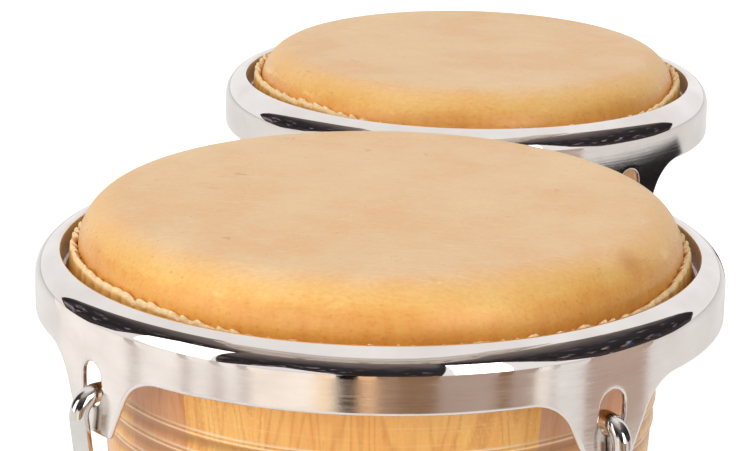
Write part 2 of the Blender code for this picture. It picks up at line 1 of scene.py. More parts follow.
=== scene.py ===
"""A pair of bongos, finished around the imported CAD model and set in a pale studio.

Sizes and meshes are in millimetres while they are worked on, in a drum's own frame where a drum
is given, and a finished mesh is brought to metres in the row frame.
"""

import math
from dataclasses import dataclass
from functools import partial

import bmesh
import bpy
from mathutils import Matrix, Vector, noise


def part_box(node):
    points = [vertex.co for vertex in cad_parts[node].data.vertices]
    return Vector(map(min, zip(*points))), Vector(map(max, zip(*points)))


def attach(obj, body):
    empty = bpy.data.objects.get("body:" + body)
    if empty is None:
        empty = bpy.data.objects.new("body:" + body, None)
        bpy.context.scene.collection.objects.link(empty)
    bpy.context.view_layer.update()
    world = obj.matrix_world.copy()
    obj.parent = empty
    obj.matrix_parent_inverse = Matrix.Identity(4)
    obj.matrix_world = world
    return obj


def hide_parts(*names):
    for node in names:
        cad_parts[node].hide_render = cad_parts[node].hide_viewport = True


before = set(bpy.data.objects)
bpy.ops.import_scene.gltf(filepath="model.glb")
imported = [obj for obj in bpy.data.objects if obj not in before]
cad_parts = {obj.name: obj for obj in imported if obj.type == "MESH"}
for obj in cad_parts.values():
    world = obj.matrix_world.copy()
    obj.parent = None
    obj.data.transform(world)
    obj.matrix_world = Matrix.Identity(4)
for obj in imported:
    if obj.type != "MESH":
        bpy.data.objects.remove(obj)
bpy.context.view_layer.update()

MM = 0.001

# What part.py gives its solids, repeated here for the finished shapes
LUG_COUNT = 4
FIRST_LUG = math.radians(47.2)
DRUM_SPACING = 262.4
SHELL_HEIGHT = 165.0
SHELL_WALL = 15.0
BEARING_RADIUS = 14.5
WAIST_INSET = 5.2
FOOT_INSET = 12.0
GROOVE_DROP = 62.2
GROOVE_PITCH = 8.3
GROOVE_COUNT = 3
SKIN = 2.0
HOOP_WIRE_RADIUS = 3.2
FIT = 0.3
RIM_WALL = 2.2
RIM_SHOULDER = 9.7
RIM_THROAT = 12.0
SKIRT_DEPTH = 22.4
LUG_DEPTH = 47.5
LUG_HALF_WIDTH = 10.3
LUG_FLARE = math.radians(26)
ARCH_RADIUS = 18.0
SLOT_DROP = 21.4
SLOT_WIDTH = 11.6
SLOT_LENGTH = 16.3
ROD_RADIUS = 3.5
THREAD_RADIUS = 3.95
THREAD_LENGTH = 40.0
HOOK_BEND = 7.5
HOOK_SET_IN = 2.3
HOOK_REACH = 1.0
TIP_BEND = 5.0
TIP_TURN = 60
TIP_LENGTH = 2.0
ROD_PAST_NUT = 2.5
WASHER_RADIUS = 8.0
WASHER_THICKNESS = 1.6
NUT_ACROSS_FLATS = 13.0
NUT_HEIGHT = 9.0
RING_HEIGHT = 28.0
RING_WALL = 2.5
RING_FLOOR = 2.5
RING_LEDGE = 9.0
EAR_DROP = 7.0
EAR_REACH = 20.0
EAR_THICKNESS = 4.0
EAR_END_RADIUS = 9.5
EAR_ROOT_HALF_WIDTH = 17.0
EAR_HOLE_RADIUS = 4.55
BLOCK_WIDTH = 76.0
BLOCK_HEIGHT = 58.0
BLOCK_BASE = 40.0
BOLT_RADIUS = 4.0
BOLT_PITCH = 30.0
BOLT_HEAD_HEIGHT = 5.3
PLATE_THICKNESS = 2.5
PLATE_HALF_ANGLE = math.radians(9)
PLATE_MARGIN = 14.0

# What only the finished shapes have
EDGE_ROUND = 0.9  # rounded edges of the rim's sheet metal
RIM_LIP = 1.2
LIP_ROUND = 0.3
CROWN_START = 81  # degrees from level, where the inner wall's bend meets the rolled shoulder
CROWN_BEND = 1.9  # how far below the rim's top that bend begins
MIRROR_DEPTH = 8.5  # how far down the shoulder is buffed to a mirror
WALL_SATIN, SHOULDER_SATIN = 3.0, 0.4  # where the skirt's own is 1
LEDGE_ABOVE = 3.6  # how far above the waist the mouldings begin
STAVE_COUNT = 20
STAVE_PHASE = math.radians(4.7)  # where one joint between staves stands, from +X
# How uneven the skin is: how far, and how wide a swell is
HEAD_DIP, HEAD_DIP_SIZE = 0.12, 34
COLLAR_SWELL, COLLAR_SWELL_SIZE = 0.35, 17
COLLAR_DENTS, COLLAR_DENT_SIZE = 0.12, 6
SKINS_APART = 400  # between the two skins in the noise, so that they aren't alike
COLLAR_EVEN = 6  # how far above the bearing height the skin stops being even
COLLAR_FADE = 10  # the height over which it becomes fully uneven
CRIMP_PITCH = 7.4  # of the skin's cut edge, along the rim
CRIMP_DEPTH = 1.0
CRIMP_THICKNESS = 2.3
CRIMP_LEAN = -1.1  # its crest leans in towards the axis
CRIMP_FOOT = 2.0  # how far it runs down behind the rim's lip
CRIMP_SET_IN = 4.0  # from the rim's inner wall
CRIMP_RISE = 1.0  # of its crest over the rim's top
CRIMP_LOW_SIDE = math.radians(24)  # where the crest is lowest, from +X
THREAD_PITCH = 1.25
THREAD_DEPTH = 0.7
ROD_SIDES = 28
ROD_END_RADIUS = 3.0
ROD_END_CHAMFER = 0.9
# The rounded end of a hook's tip: how far short of its end, and the radius there
TIP_ROUND = ((1.2, 3.5), (0.6, 3.3), (0.15, 2.7), (0, 1.9))
NUT_PLAY = 0.2  # between a rod's thread and its nut
WASHER_PLAY = 0.4
WASHER_ROUND = 0.35
# Widths of eased edges
NUT_EASE = 0.25
PLATE_EASE = 0.6
BLOCK_EASE = 2.0
TURNED_EASE = 0.8  # a ring and a bolt's shank
SHANK_OVERLAP = 0.2  # how far a bolt's shank reaches into its head
NEAR_AXIS = 0.01  # where a turned solid's profile ends
ROUND_STEPS = 256
FINE_STEPS = 96  # round a nut, a bolt's head and an ear
STAVE_STEPS = 14  # across one stave
SKIRT_ROWS = (6, 3, 7)  # above, beside and below a lug's slot
GAP_STEPS = 20  # from a lug's arch to the middle of the gap
NUT_FACE = 0.985  # of the width across flats, left flat by the turned corners
BORE_CHAMFER = 0.5
RING_CORNER = 3.5
LUG_CORNER = 1.5
BLANK_SHARE = 0.7  # how long the block's blank is, as a share of the drums' spacing
MERGED = 0.0005  # points closer than this are one

# The skin's colours, in metres
COLOUR_DEPTH = 34 * MM  # over which it turns from its top's colour to its lowest one
# Brown marks on the larger head: where they are, and how far they reach in mm
MARKS = (((0.173, 0.098, 0.1655), 9), ((0.166, 0.105, 0.164), 6))

SEED = 1736  # gives pinkish boards at the left and right of the front, and amber between


@dataclass
class Drum:
    """One drum's sizes, taken from its CAD nodes."""

    name: str
    side: int  # +1 where the drum stands at +X, -1 at -X
    axis: float  # its X
    base: float
    top: float  # of the shell
    radius: float  # of the shell's top
    head_top: float
    rim_top: float
    rim_outer: float

    @property
    def rim_inner(self):
        return self.rim_outer - RIM_SHOULDER

    @property
    def hoop_radius(self):
        return self.radius + FIT + SKIN + FIT + HOOP_WIRE_RADIUS

    @property
    def wrap_radius(self):
        return HOOP_WIRE_RADIUS + FIT + SKIN

    @property
    def hoop_height(self):
        return self.rim_top - RIM_THROAT - FIT - self.wrap_radius

    @property
    def waist(self):
        return self.top - GROOVE_DROP

    @property
    def bearing(self):
        return self.top - BEARING_RADIUS

    @property
    def ear_radius(self):
        return self.outside(RING_HEIGHT) + FIT + RING_WALL + EAR_REACH

    def outside(self, height):
        waist, foot = self.radius - WAIST_INSET, self.radius - FOOT_INSET
        if height > self.waist:
            share = min((height - self.waist) / (self.bearing - self.waist), 1.0)
            return waist + share * WAIST_INSET
        return foot + (height - self.base) / (self.waist - self.base) * (waist - foot)

    def bore(self, height):
        share = (height - self.base) / SHELL_HEIGHT
        return self.radius - SHELL_WALL - (1 - share) * FOOT_INSET


def measured_drum(name, side):
    shell_low, shell_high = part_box(f"{name}_shell")
    rim_low, rim_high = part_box(f"{name}_rim")
    return Drum(
        name,
        side,
        axis=(rim_low.x + rim_high.x) / 2 / MM,
        base=shell_low.z / MM,
        top=shell_high.z / MM,
        radius=(shell_high.x - shell_low.x) / 2 / MM,
        head_top=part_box(f"{name}_head")[1].z / MM,
        rim_top=rim_high.z / MM,
        rim_outer=(rim_high.x - rim_low.x) / 2 / MM,
    )


HEMBRA = measured_drum("hembra", 1)
MACHO = measured_drum("macho", -1)


# Nodes and materials


# Settings that a Mix node takes: plain colours, and two blends
COLOURS = {"data_type": "RGBA"}
SOFT_LIGHT = {"data_type": "RGBA", "blend_type": "SOFT_LIGHT"}
OVERLAY = {"data_type": "RGBA", "blend_type": "OVERLAY"}


def add(tree, kind, sockets=(), stops=(), **settings):
    """Adds a node, with its sockets set or linked and the stops of its ramp. A kind without
    Node in its name is a shader node."""
    made = tree.nodes.new(kind if "Node" in kind else f"ShaderNode{kind}")
    for name, value in settings.items():
        setattr(made, name, value)
    connect(made, sockets)
    if stops:
        ramp = made.color_ramp
        for _ in stops[2:]:
            ramp.elements.new(0.5)
        for element, (place, shade) in zip(ramp.elements, stops):
            element.position = place
            element.color = colour(shade) if isinstance(shade, str) else (shade,) * 3 + (1,)
    return made


def connect(node, sockets):
    """Gives sockets a value, or a link from a socket or from a node's first output in use.
    Sockets are named, or counted among those in use."""
    used = [socket for socket in node.inputs if socket.enabled]
    counted = sockets if isinstance(sockets, dict) else dict(enumerate(sockets))
    for key, value in counted.items():
        socket = used[key] if isinstance(key, int) else next(s for s in used if s.name == key)
        if isinstance(value, bpy.types.Node):
            value = next(out for out in value.outputs if out.enabled)
        if isinstance(value, bpy.types.NodeSocket):
            node.id_data.links.new(value, socket)
        else:
            socket.default_value = value


def colour(code):
    """An sRGB hex colour as linear RGBA."""
    values = [int(code[i : i + 2], 16) / 255 for i in (0, 2, 4)]
    return (*(v / 12.92 if v <= 0.04045 else ((v + 0.055) / 1.055) ** 2.4 for v in values), 1)


def pattern(place, sizes, sockets=(), kind="TexNoise", **mapping):
    """A texture, with its pattern's sizes in millimetres along X, Y and Z."""
    scale = tuple(1 / (size * MM) for size in sizes)
    moved = {key.capitalize(): value for key, value in mapping.items()}
    mapped = add(place.id_data, "Mapping", {0: place, "Scale": scale, **moved})
    return add(place.id_data, kind, {0: mapped, "Scale": 1, **dict(sockets)})


def new_material(name):
    """A material, what adds its nodes, its shader, and where its patterns lie."""
    material = bpy.data.materials.new(name)
    material.use_nodes = True
    node = partial(add, material.node_tree)
    shader = material.node_tree.nodes["Principled BSDF"]
    return material, node, shader, node("TexCoord").outputs["Object"]


def rawhide():
    """Rawhide: a dried cattle skin, its hair taken off with a scraper. Its flat top is a dull,
    cloudy tan. Over the edge and down the collar it is painted golden, darkest lowest down: a
    painted glow for the light that comes through the stretched skin. A pale painted highlight
    runs along the bend in blotches. It has fine fibres, scraper scratches, small pits and a low
    sheen."""
    material, node, shader, place = new_material("scraped_rawhide")
    height = node("SeparateXYZ", (place,)).outputs["Z"]
    cloud = pattern(place, (38, 38, 26), {"Detail": 4, "Roughness": 0.6})
    drift = node("Math", (cloud, 0.5), operation="SUBTRACT")
    warped = node("Math", (drift, 9 * MM, height), operation="MULTIPLY_ADD")
    top = HEMBRA.head_top * MM
    share = node("MapRange", (warped, top - COLOUR_DEPTH, top))
    # Painted glow: golden, darkest lowest down, for light that comes through the stretched skin.
    golden = [(0.0, "B27532"), (0.26, "CF9446"), (0.5, "E0A556"), (0.68, "E2A95C")]
    tan = [(0.78, "E5B971"), (0.9, "E4BC7F"), (0.965, "E1BB8C"), (1.0, "E0BF96")]
    depth = node("ValToRGB", (share,), golden + tan)
    # Painted highlight: pale blotches are painted along the bend where the skin leaves the bearing
    # edge and catches the light.
    corner = node("ValToRGB", (share,), [(0.7, 0.0), (0.73, 1.0), (0.84, 0.0)])
    patch = pattern(place, (24, 24, 9), {"Detail": 4, "Roughness": 0.65})
    highlight_patches = node("MapRange", (patch, 0.56, 0.66, 0, 0.5))
    bend_highlight = node("Math", (corner, highlight_patches), operation="MULTIPLY")
    highlighted = node("Mix", (bend_highlight, depth, colour("FCDFA6")), **COLOURS)
    clouds = node("ValToRGB", (cloud,), [(0.3, "C9A070"), (0.7, "F6DCBC")])
    pale = node("Mix", (0.42, highlighted, clouds), **SOFT_LIGHT)
    fibre = pattern(place, (1.0, 2.6, 1.3), {"Detail": 5, "Roughness": 0.7})
    scratches = []
    for sizes, turn, low, high in (((0.7, 22, 9), 38, 0.64, 0.78), ((0.9, 24, 9), -20, 0.66, 0.8)):
        scratch = pattern(place, sizes, {"Detail": 2}, rotation=(0, 0, math.radians(turn)))
        scratches.append(node("MapRange", (scratch, low, high)))
    either = node("Math", scratches, operation="MAXIMUM")
    on_top = node("MapRange", (share, 0.9, 0.98))
    marks = node("Math", (either, on_top), operation="MULTIPLY")
    pit = pattern(place, (7, 7, 7), kind="TexVoronoi")
    pits = node("MapRange", (pit.outputs["Distance"], 0.045, 0.08, 1, 0))
    speck = pattern(place, (11, 11, 11), kind="TexVoronoi", location=(1.3, 2.1, 0))
    specks = node("MapRange", (speck.outputs["Distance"], 0.03, 0.05, 0.8, 0))
    marks = node("Math", (marks, specks), operation="MAXIMUM")
    stain = pattern(place, (16, 16, 22), {"Detail": 5, "Roughness": 0.65}, location=(3.1, 0.4, 0))
    stains = node("MapRange", (stain, 0.66, 0.74, 0, 0.5))
    # The collar shows the pull of the rim as upright streaks.
    pull = pattern(place, (4, 4, 40), {"Detail": 4, "Roughness": 0.6})
    low_down = node("MapRange", (share, 0.85, 0.7, 0, 0.35))
    streaks = node("ValToRGB", (pull,), [(0.3, 0.3), (0.7, 0.7)])
    pulled = node("Mix", (low_down, pale, streaks), **SOFT_LIGHT)
    fibres = node("ValToRGB", (fibre,), [(0.3, "8E775C"), (0.7, "D6CABC")])
    shown = node("Mix", (0.32, pulled, fibres), **OVERLAY)
    scraping = node("Math", (marks, 0.45), operation="MULTIPLY")
    pitting = node("Math", (pits, 0.4), operation="MULTIPLY")
    for layer, shade in ((scraping, "F9E6CB"), (pitting, "A9743F"), (stains, "A86F38")):
        shown = node("Mix", (layer, shown, colour(shade)), **COLOURS)
    # Two brown marks lie by the edge where players' thumbs rest.
    for spot, reach in MARKS:
        away = node("VectorMath", (place, spot), operation="DISTANCE").outputs["Value"]
        uneven = node("Math", (patch, -16 * MM, away), operation="MULTIPLY_ADD")
        near = node("MapRange", (uneven, -8 * MM, (reach - 8) * MM, 0.62, 0))
        shown = node("Mix", (near, shown, colour("C06A22")), **COLOURS)
    rough = node("MapRange", (fibre, 0.3, 0.7, 0.24, 0.4))
    wear_and_painted_highlight = node("MapRange", (share, 0.97, 0.8, 0.1, 0))
    dull = node("Math", (rough, wear_and_painted_highlight), operation="ADD")
    relief = node("Math", (marks, -0.5, fibre), operation="MULTIPLY_ADD")
    bump = node("Bump", {"Strength": 0.6, "Distance": 0.15 * MM, "Height": relief})
    under = {"Subsurface Weight": 0.12, "Subsurface Scale": 3 * MM}
    connect(shader, {"Subsurface Radius": (1.0, 0.5, 0.2), "Specular IOR Level": 0.5, **under})
    connect(shader, {"Base Color": shown, "Roughness": dull, "Normal": bump})
    return material


def cut_rawhide():
    """The cut and crimped edge of the skin. The bare cut dries to a pale straw crest. Where the
    folds turn in, the wall is painted darker and more orange-brown: painted shade in the folds."""
    material, node, shader, place = new_material("crimped_rawhide_edge")
    fold = node("Attribute", attribute_name="fold").outputs["Fac"]
    rise = node("Attribute", attribute_name="rise").outputs["Fac"]
    fibre = pattern(place, (1.5, 1.5, 0.7), {"Detail": 4, "Roughness": 0.65})
    # Painted shade: the wall is darker where the folds turn in.
    wall = node("ValToRGB", (fold,), [(0.0, "CC9044"), (0.45, "DEA450"), (1.0, "E9B260")])
    crest = node("ValToRGB", (fibre,), [(0.3, "EBC388"), (0.7, "F8DFB0")])
    top = node("MapRange", (rise, 0.84, 0.92))
    blend = node("Mix", (top, wall, crest), **COLOURS)
    bump = node("Bump", {"Strength": 0.5, "Distance": 0.2 * MM, "Height": fibre})
    connect(shader, {"Base Color": blend, "Normal": bump, "Roughness": 0.6})
    return material


def timber(place, count, rings, streaks, pores):
    """Growth rings as the distance from a ring's edge, streaks and pores, by their sizes."""
    swell = pattern(place, rings, {"Detail": 2, "Roughness": 0.45})
    spread = add(place.id_data, "Math", (swell, count), operation="MULTIPLY")
    ring = add(place.id_data, "Math", (spread, 0.5), operation="PINGPONG")
    streak = pattern(place, streaks, {"Detail": 4, "Roughness": 0.65})
    return ring, streak, pattern(place, pores, {"Detail": 3})


def staves(name, lacquered):
    """Siam oak staves, turned on a lathe, with the grain upright. Each board has its own tone,
    from pinkish tan to amber, its own growth rings, and some show ray flecks. Outside, clear
    lacquer deepens the colour and gives a wet shine over faint lathe rings. Inside, the wood is
    bare, paler and dull."""
    material, node, shader, place = new_material(name)
    board = node("Attribute", attribute_name="board").outputs["Fac"]
    tone = node("Attribute", attribute_name="tone").outputs["Fac"]
    shift = node("VectorMath", {0: (0.61, 0.83, 1.7), "Scale": board}, operation="SCALE")
    own = node("VectorMath", (place, shift), operation="ADD")
    ring, streak, pore = timber(own, 19.0, (26, 26, 330), (1.6, 1.6, 70), (0.45, 0.45, 7))
    figure = pattern(own, (9, 9, 45), {"Detail": 3})
    fleck = pattern(own, (0.9, 0.9, 1.7), {"Detail": 2})
    flecks = node("MapRange", (fleck, 0.52, 0.72))
    body = node(
        "ValToRGB",
        (tone,),
        [(0.1, "DC9862"), (0.27, "D6A078"), (0.45, "EEAE5C"), (0.8, "F3B45C"), (1.0, "F5C070")],
    )
    late = node("MapRange", (ring, 0.24, 0.0, 0, 0.5))
    lined = node("Mix", (late, body, colour("D5893A")), **COLOURS)
    bands = (0.6, figure, [(0.3, 0.36), (0.7, 0.62)]), (0.5, streak, [(0.28, 0.3), (0.72, 0.66)])
    for share, grain, stops in bands:
        shades = node("ValToRGB", (grain,), stops)
        lined = node("Mix", (share, lined, shades), **SOFT_LIGHT)
    rayed = node("MapRange", (tone, 0.55, 0.75, 0, 0.4))
    flecked = node("Math", (flecks, rayed), operation="MULTIPLY")
    pores = node("MapRange", (pore, 0.36, 0.26, 0, 0.32))
    lathe = pattern(place, (70, 70, 0.55), {"Detail": 3, "Roughness": 0.6})
    turned_lines = node("MapRange", (lathe, 0.58, 0.74, 0, 0.3))
    layers = [(flecked, "F7CF8D"), (pores, "8F5420")]
    if lacquered:
        # Painted shade and highlight: a cove is painted darker for the shade in it, a ledge paler
        # for the light it catches.
        hollow = node("Attribute", attribute_name="cove").outputs["Fac"]
        painted_cove_shade = node("MapRange", (hollow, 0, 1, 0, 0.62))
        wear_and_painted_highlight = node("MapRange", (hollow, 0, -1, 0, 0.8))
        layers += [(turned_lines, "F8DDB0"), (painted_cove_shade, "9A6430"), (wear_and_painted_highlight, "FBE4BE")]
        coat = node("Bump", {"Strength": 0.06, "Distance": 0.1 * MM, "Height": lathe})
        lacquer = {"Coat Weight": 0.6, "Coat Roughness": 0.06, "Coat Normal": coat}
        connect(shader, {"Specular IOR Level": 0.25, **lacquer})
        strength, dullest = 0.12, (0.38, 0.5)
    else:
        layers.append((0.4, "D9BE93"))
        strength, dullest = 0.5, (0.68, 0.85)
    for share, shade in layers:
        lined = node("Mix", (share, lined, colour(shade)), **COLOURS)
    rough = node("MapRange", (streak, 0, 1, *dullest))
    relief = node("Math", (pore, 0.6, lathe), operation="MULTIPLY_ADD")
    bump = node("Bump", {"Strength": strength, "Distance": 0.15 * MM, "Height": relief})
    connect(shader, {"Base Color": lined, "Roughness": rough, "Normal": bump})
    return material


def block_timber():
    """The block is one sawn piece of the same timber, its grain along the pair, lacquered."""
    material, node, shader, place = new_material("lacquered_sawn_timber")
    ring, streak, pore = timber(place, 13.0, (260, 21, 30), (60, 1.5, 1.5), (8, 0.5, 0.5))
    body = node("ValToRGB", (streak,), [(0.3, "C48A4C"), (0.7, "DFAA66")])
    late = node("MapRange", (ring, 0.09, 0.0, 0, 0.5))
    lined = node("Mix", (late, body, colour("94561F")), **COLOURS)
    pores = node("MapRange", (pore, 0.38, 0.26, 0, 0.4))
    pored = node("Mix", (pores, lined, colour("7E4818")), **COLOURS)
    rough = node("MapRange", (streak, 0, 1, 0.36, 0.5))
    bump = node("Bump", {"Strength": 0.15, "Distance": 0.15 * MM, "Height": pore})
    connect(shader, {"Base Color": pored, "Roughness": rough, "Normal": bump})
    connect(shader, {"Coat Weight": 0.6, "Coat Roughness": 0.1})
    return material


def rim_chrome():
    """Chrome plate over pressed steel. The rolled shoulder is buffed to a mirror. The flat skirt
    was linished round the hoop before plating, so it has fine level lines and a satin look."""
    material, node, shader, place = new_material("chrome_plated_pressing")
    satin = node("Attribute", attribute_name="satin").outputs["Fac"]
    line = pattern(place, (34, 34, 0.55), {"Detail": 5, "Roughness": 0.7})
    smudge = pattern(place, (24, 24, 14), {"Detail": 3})
    brushed = node("MapRange", (line, 0.3, 0.7, 0.04, 0.16))
    clouded = node("Math", (smudge, 0.04, brushed), operation="MULTIPLY_ADD")
    rough = node("Math", (clouded, satin, 0.03), operation="MULTIPLY_ADD")
    tone = node("ValToRGB", (smudge,), [(0.3, "DED6D2"), (0.7, "EBE6E3")])
    strength = node("Math", (satin, 0.32, 0.01), operation="MULTIPLY_ADD")
    bump = node("Bump", {"Strength": strength, "Distance": 0.05 * MM, "Height": line})
    connect(shader, {"Roughness": rough, "Base Color": tone, "Normal": bump, "Metallic": 1})
    return material


def even_metal(name, sizes, detail, tones, rough):
    """A metal with one pattern, which shades its colour and its roughness."""
    material, node, shader, place = new_material(name)
    haze = pattern(place, sizes, {"Detail": detail})
    tone = node("ValToRGB", (haze,), tones)
    dull = node("MapRange", (haze, *rough))
    connect(shader, {"Base Color": tone, "Roughness": dull, "Metallic": 1})
    return material


def zinc_plate():
    """Zinc-plated steel, barrel plated: a soft grey shine with a faint yellow and blue bloom."""
    material, node, shader, place = new_material("zinc_plated_steel")
    bloom = pattern(place, (7, 7, 7), {"Detail": 3})
    tone = node("ValToRGB", (bloom,), [(0.3, "A9ADB2"), (0.5, "B9B8B2"), (0.72, "C4BC9E")])
    pit = pattern(place, (0.8, 0.8, 0.8), {"Detail": 3})
    rough = node("MapRange", (pit, 0, 1, 0.26, 0.46))
    bump = node("Bump", {"Strength": 0.15, "Distance": 0.05 * MM, "Height": pit})
    connect(shader, {"Base Color": tone, "Roughness": rough, "Normal": bump, "Metallic": 1})
    return material


RAWHIDE = rawhide()
CUT_RAWHIDE = cut_rawhide()
STAVES = staves("lacquered_oak_staves", lacquered=True)
BARE_STAVES = staves("bare_oak_staves", lacquered=False)
TIMBER = block_timber()
RIM_CHROME = rim_chrome()
ZINC = zinc_plate()
# Chrome plate on drawn and turned steel: a near mirror, with faint haze from handling.
HAZE = [(0.3, "D2CFCC"), (0.7, "DEDCDA")]
CHROME = even_metal("chrome_plated_steel", (6, 6, 9), 4, HAZE, (0.3, 0.7, 0.05, 0.14))
# Free-cutting brass, turned on a lathe: warm yellow with fine tool rings.
YELLOWS = [(0.3, "B98F3F"), (0.7, "D3AE5C")]
BRASS = even_metal("turned_brass", (0.4, 8, 8), 2, YELLOWS, (0, 1, 0.2, 0.38))


# Shaping


def arc(centre, radius, start, end, steps):
    """Points on an arc about (radius, height) from one angle in degrees to another."""
    angles = [math.radians(start + (end - start) * i / steps) for i in range(steps + 1)]
    return [(centre[0] + radius * math.cos(a), centre[1] + radius * math.sin(a)) for a in angles]


def curved(a, control, b, steps):
    """Points on a quadratic curve from a to b, without its first point."""
    points = []
    for i in range(1, steps + 1):
        t = i / steps
        points.append(
            tuple((1 - t) ** 2 * a[k] + 2 * t * (1 - t) * control[k] + t**2 * b[k] for k in (0, 1))
        )
    return points


def rounded(points, radius, steps=4):
    """A closed profile with each corner eased by up to a radius."""
    eased = []
    for i, corner in enumerate(points):
        corner = Vector(corner)
        before = Vector(points[i - 1]) - corner
        after = Vector(points[(i + 1) % len(points)]) - corner
        reach = min(radius, before.length * 0.45, after.length * 0.45)
        a = corner + before.normalized() * reach
        b = corner + after.normalized() * reach
        eased += [tuple(a)] + curved(a, corner, b, steps)
    return eased


def polar(radius, angle, height):
    return radius * math.cos(angle), radius * math.sin(angle), height


def plain_mesh(name, points, edges=(), faces=(), **values):
    """A mesh. Values are attributes, each with a number for every point."""
    mesh = bpy.data.meshes.new(name)
    mesh.from_pydata(points, edges, faces)
    for key, numbers in values.items():
        mesh.attributes.new(key, "FLOAT", "POINT").data.foreach_set("value", numbers)
    return mesh


def turned_outward(mesh, merge=0.0):
    """Points a closed mesh's faces outwards, after merging what lies closer than a distance."""
    shape = bmesh.new()
    shape.from_mesh(mesh)
    if merge:
        bmesh.ops.remove_doubles(shape, verts=shape.verts, dist=merge)
    bmesh.ops.recalc_face_normals(shape, faces=shape.faces)
    shape.to_mesh(mesh)
    shape.free()
    return mesh


def joined(mesh, *others):
    """The mesh with others added, each given with the matrix that places it."""
    shape = bmesh.new()
    shape.from_mesh(mesh)
    for other, matrix in others:
        start = len(shape.verts)
        shape.from_mesh(other)
        shape.verts.ensure_lookup_table()
        bmesh.ops.transform(shape, matrix=matrix, verts=shape.verts[start:])
    shape.to_mesh(mesh)
    shape.free()
    return mesh


def strips(rows, closed=False):
    """Quads between each row of points and the next, and back to the first row if closed."""
    pairs = zip(rows, rows[1:] + rows[:1] if closed else rows[1:])
    return [(a[i], a[i + 1], b[i + 1], b[i]) for a, b in pairs for i in range(len(a) - 1)]


def ringed(name, sections, capped=False):
    """A solid round Z from its sections. They are closed, or else their ends meet caps."""
    count = len(sections[0])
    order = list(range(count)) + ([] if capped else [0])
    rows = [[i * count + j for j in order] for i in range(len(sections))]
    faces = strips(rows, closed=True)
    if capped:
        faces += [tuple(row[0] for row in rows), tuple(row[-1] for row in reversed(rows))]
    points = [point for section in sections for point in section]
    return turned_outward(plain_mesh(name, points, faces=faces), MERGED)


def turned(name, profile, steps=ROUND_STEPS, reshape=None):
    """A closed profile turned about Z. Reshape may move a point given its number and angle."""
    sections = []
    for i in range(steps):
        angle = math.tau * i / steps
        section = [reshape(j, angle, *p) if reshape else p for j, p in enumerate(profile)]
        sections.append([polar(radius, angle, height) for radius, height in section])
    return ringed(name, sections)


def add_object(name, mesh):
    piece = bpy.data.objects.new(name, mesh)
    bpy.context.scene.collection.objects.link(piece)
    return piece


def settled(piece):
    """The piece with its modifiers worked into a plain mesh."""
    bpy.context.view_layer.update()
    graph = bpy.context.evaluated_depsgraph_get()
    mesh = bpy.data.meshes.new_from_object(piece.evaluated_get(graph))
    piece.modifiers.clear()
    piece.data = mesh
    return piece


def eased(piece, width, segments=3, angle=40):
    bevel = piece.modifiers.new("eased edges", "BEVEL")
    bevel.width = width
    bevel.segments = segments
    bevel.limit_method = "ANGLE"
    bevel.angle_limit = math.radians(angle)
    return settled(piece)


def place_piece(piece, matrix, body, replaced=(), material=None, crease=35):
    """Finishes a piece: its place in its mesh in metres, its shading, material and body. It hides
    the CAD parts that it replaces.
    """
    piece.data.transform(Matrix.Scale(MM, 4) @ matrix)
    piece.data.shade_smooth()
    piece.data.set_sharp_from_angle(angle=math.radians(crease))
    if material:
        piece.data.materials.clear()
        piece.data.materials.append(material)
    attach(piece, body)
    if replaced:
        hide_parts(*replaced)
    return piece


def on_axis(drum):
    return Matrix.Translation((drum.axis, 0, 0))


def lug_turns():
    step = math.tau / LUG_COUNT
    return [Matrix.Rotation(FIRST_LUG + step * i, 4, "Z") for i in range(LUG_COUNT)]


def new_tree(name, sizes, whole=()):
    """A geometry tree with named inputs: lengths or factors, and whole numbers. It comes with
    what adds its nodes and with its inputs."""
    tree = bpy.data.node_groups.new(name, "GeometryNodeTree")
    sockets = [("Geometry", "Geometry"), *((size, "Float") for size in sizes)]
    sockets += [*((number, "Int") for number in whole), ("Material", "Material")]
    for title, kind in sockets:
        tree.interface.new_socket(title, in_out="INPUT", socket_type=f"NodeSocket{kind}")
    tree.interface.new_socket("Geometry", in_out="OUTPUT", socket_type="NodeSocketGeometry")
    node = partial(add, tree)
    return tree, node, node("NodeGroupInput").outputs


def close_tree(tree, geometry, material):
    """Ends a tree: realised instances, then the material."""
    real = add(tree, "GeometryNodeRealizeInstances", {0: geometry})
    shown = add(tree, "GeometryNodeSetMaterial", {0: real, "Material": material})
    add(tree, "NodeGroupOutput", {0: shown})
    return tree


def grown(name, mesh, tree, **inputs):
    """An object whose mesh a geometry tree makes, settled to a plain mesh."""
    piece = add_object(name, mesh)
    modifier = piece.modifiers.new(tree.name, "NODES")
    modifier.node_group = tree
    identifiers = {
        item.name: item.identifier for item in tree.interface.items_tree if item.in_out == "INPUT"
    }
    for key, value in inputs.items():
        modifier[identifiers[key.replace("_", " ").capitalize()]] = value
    return settled(piece)


# Shells


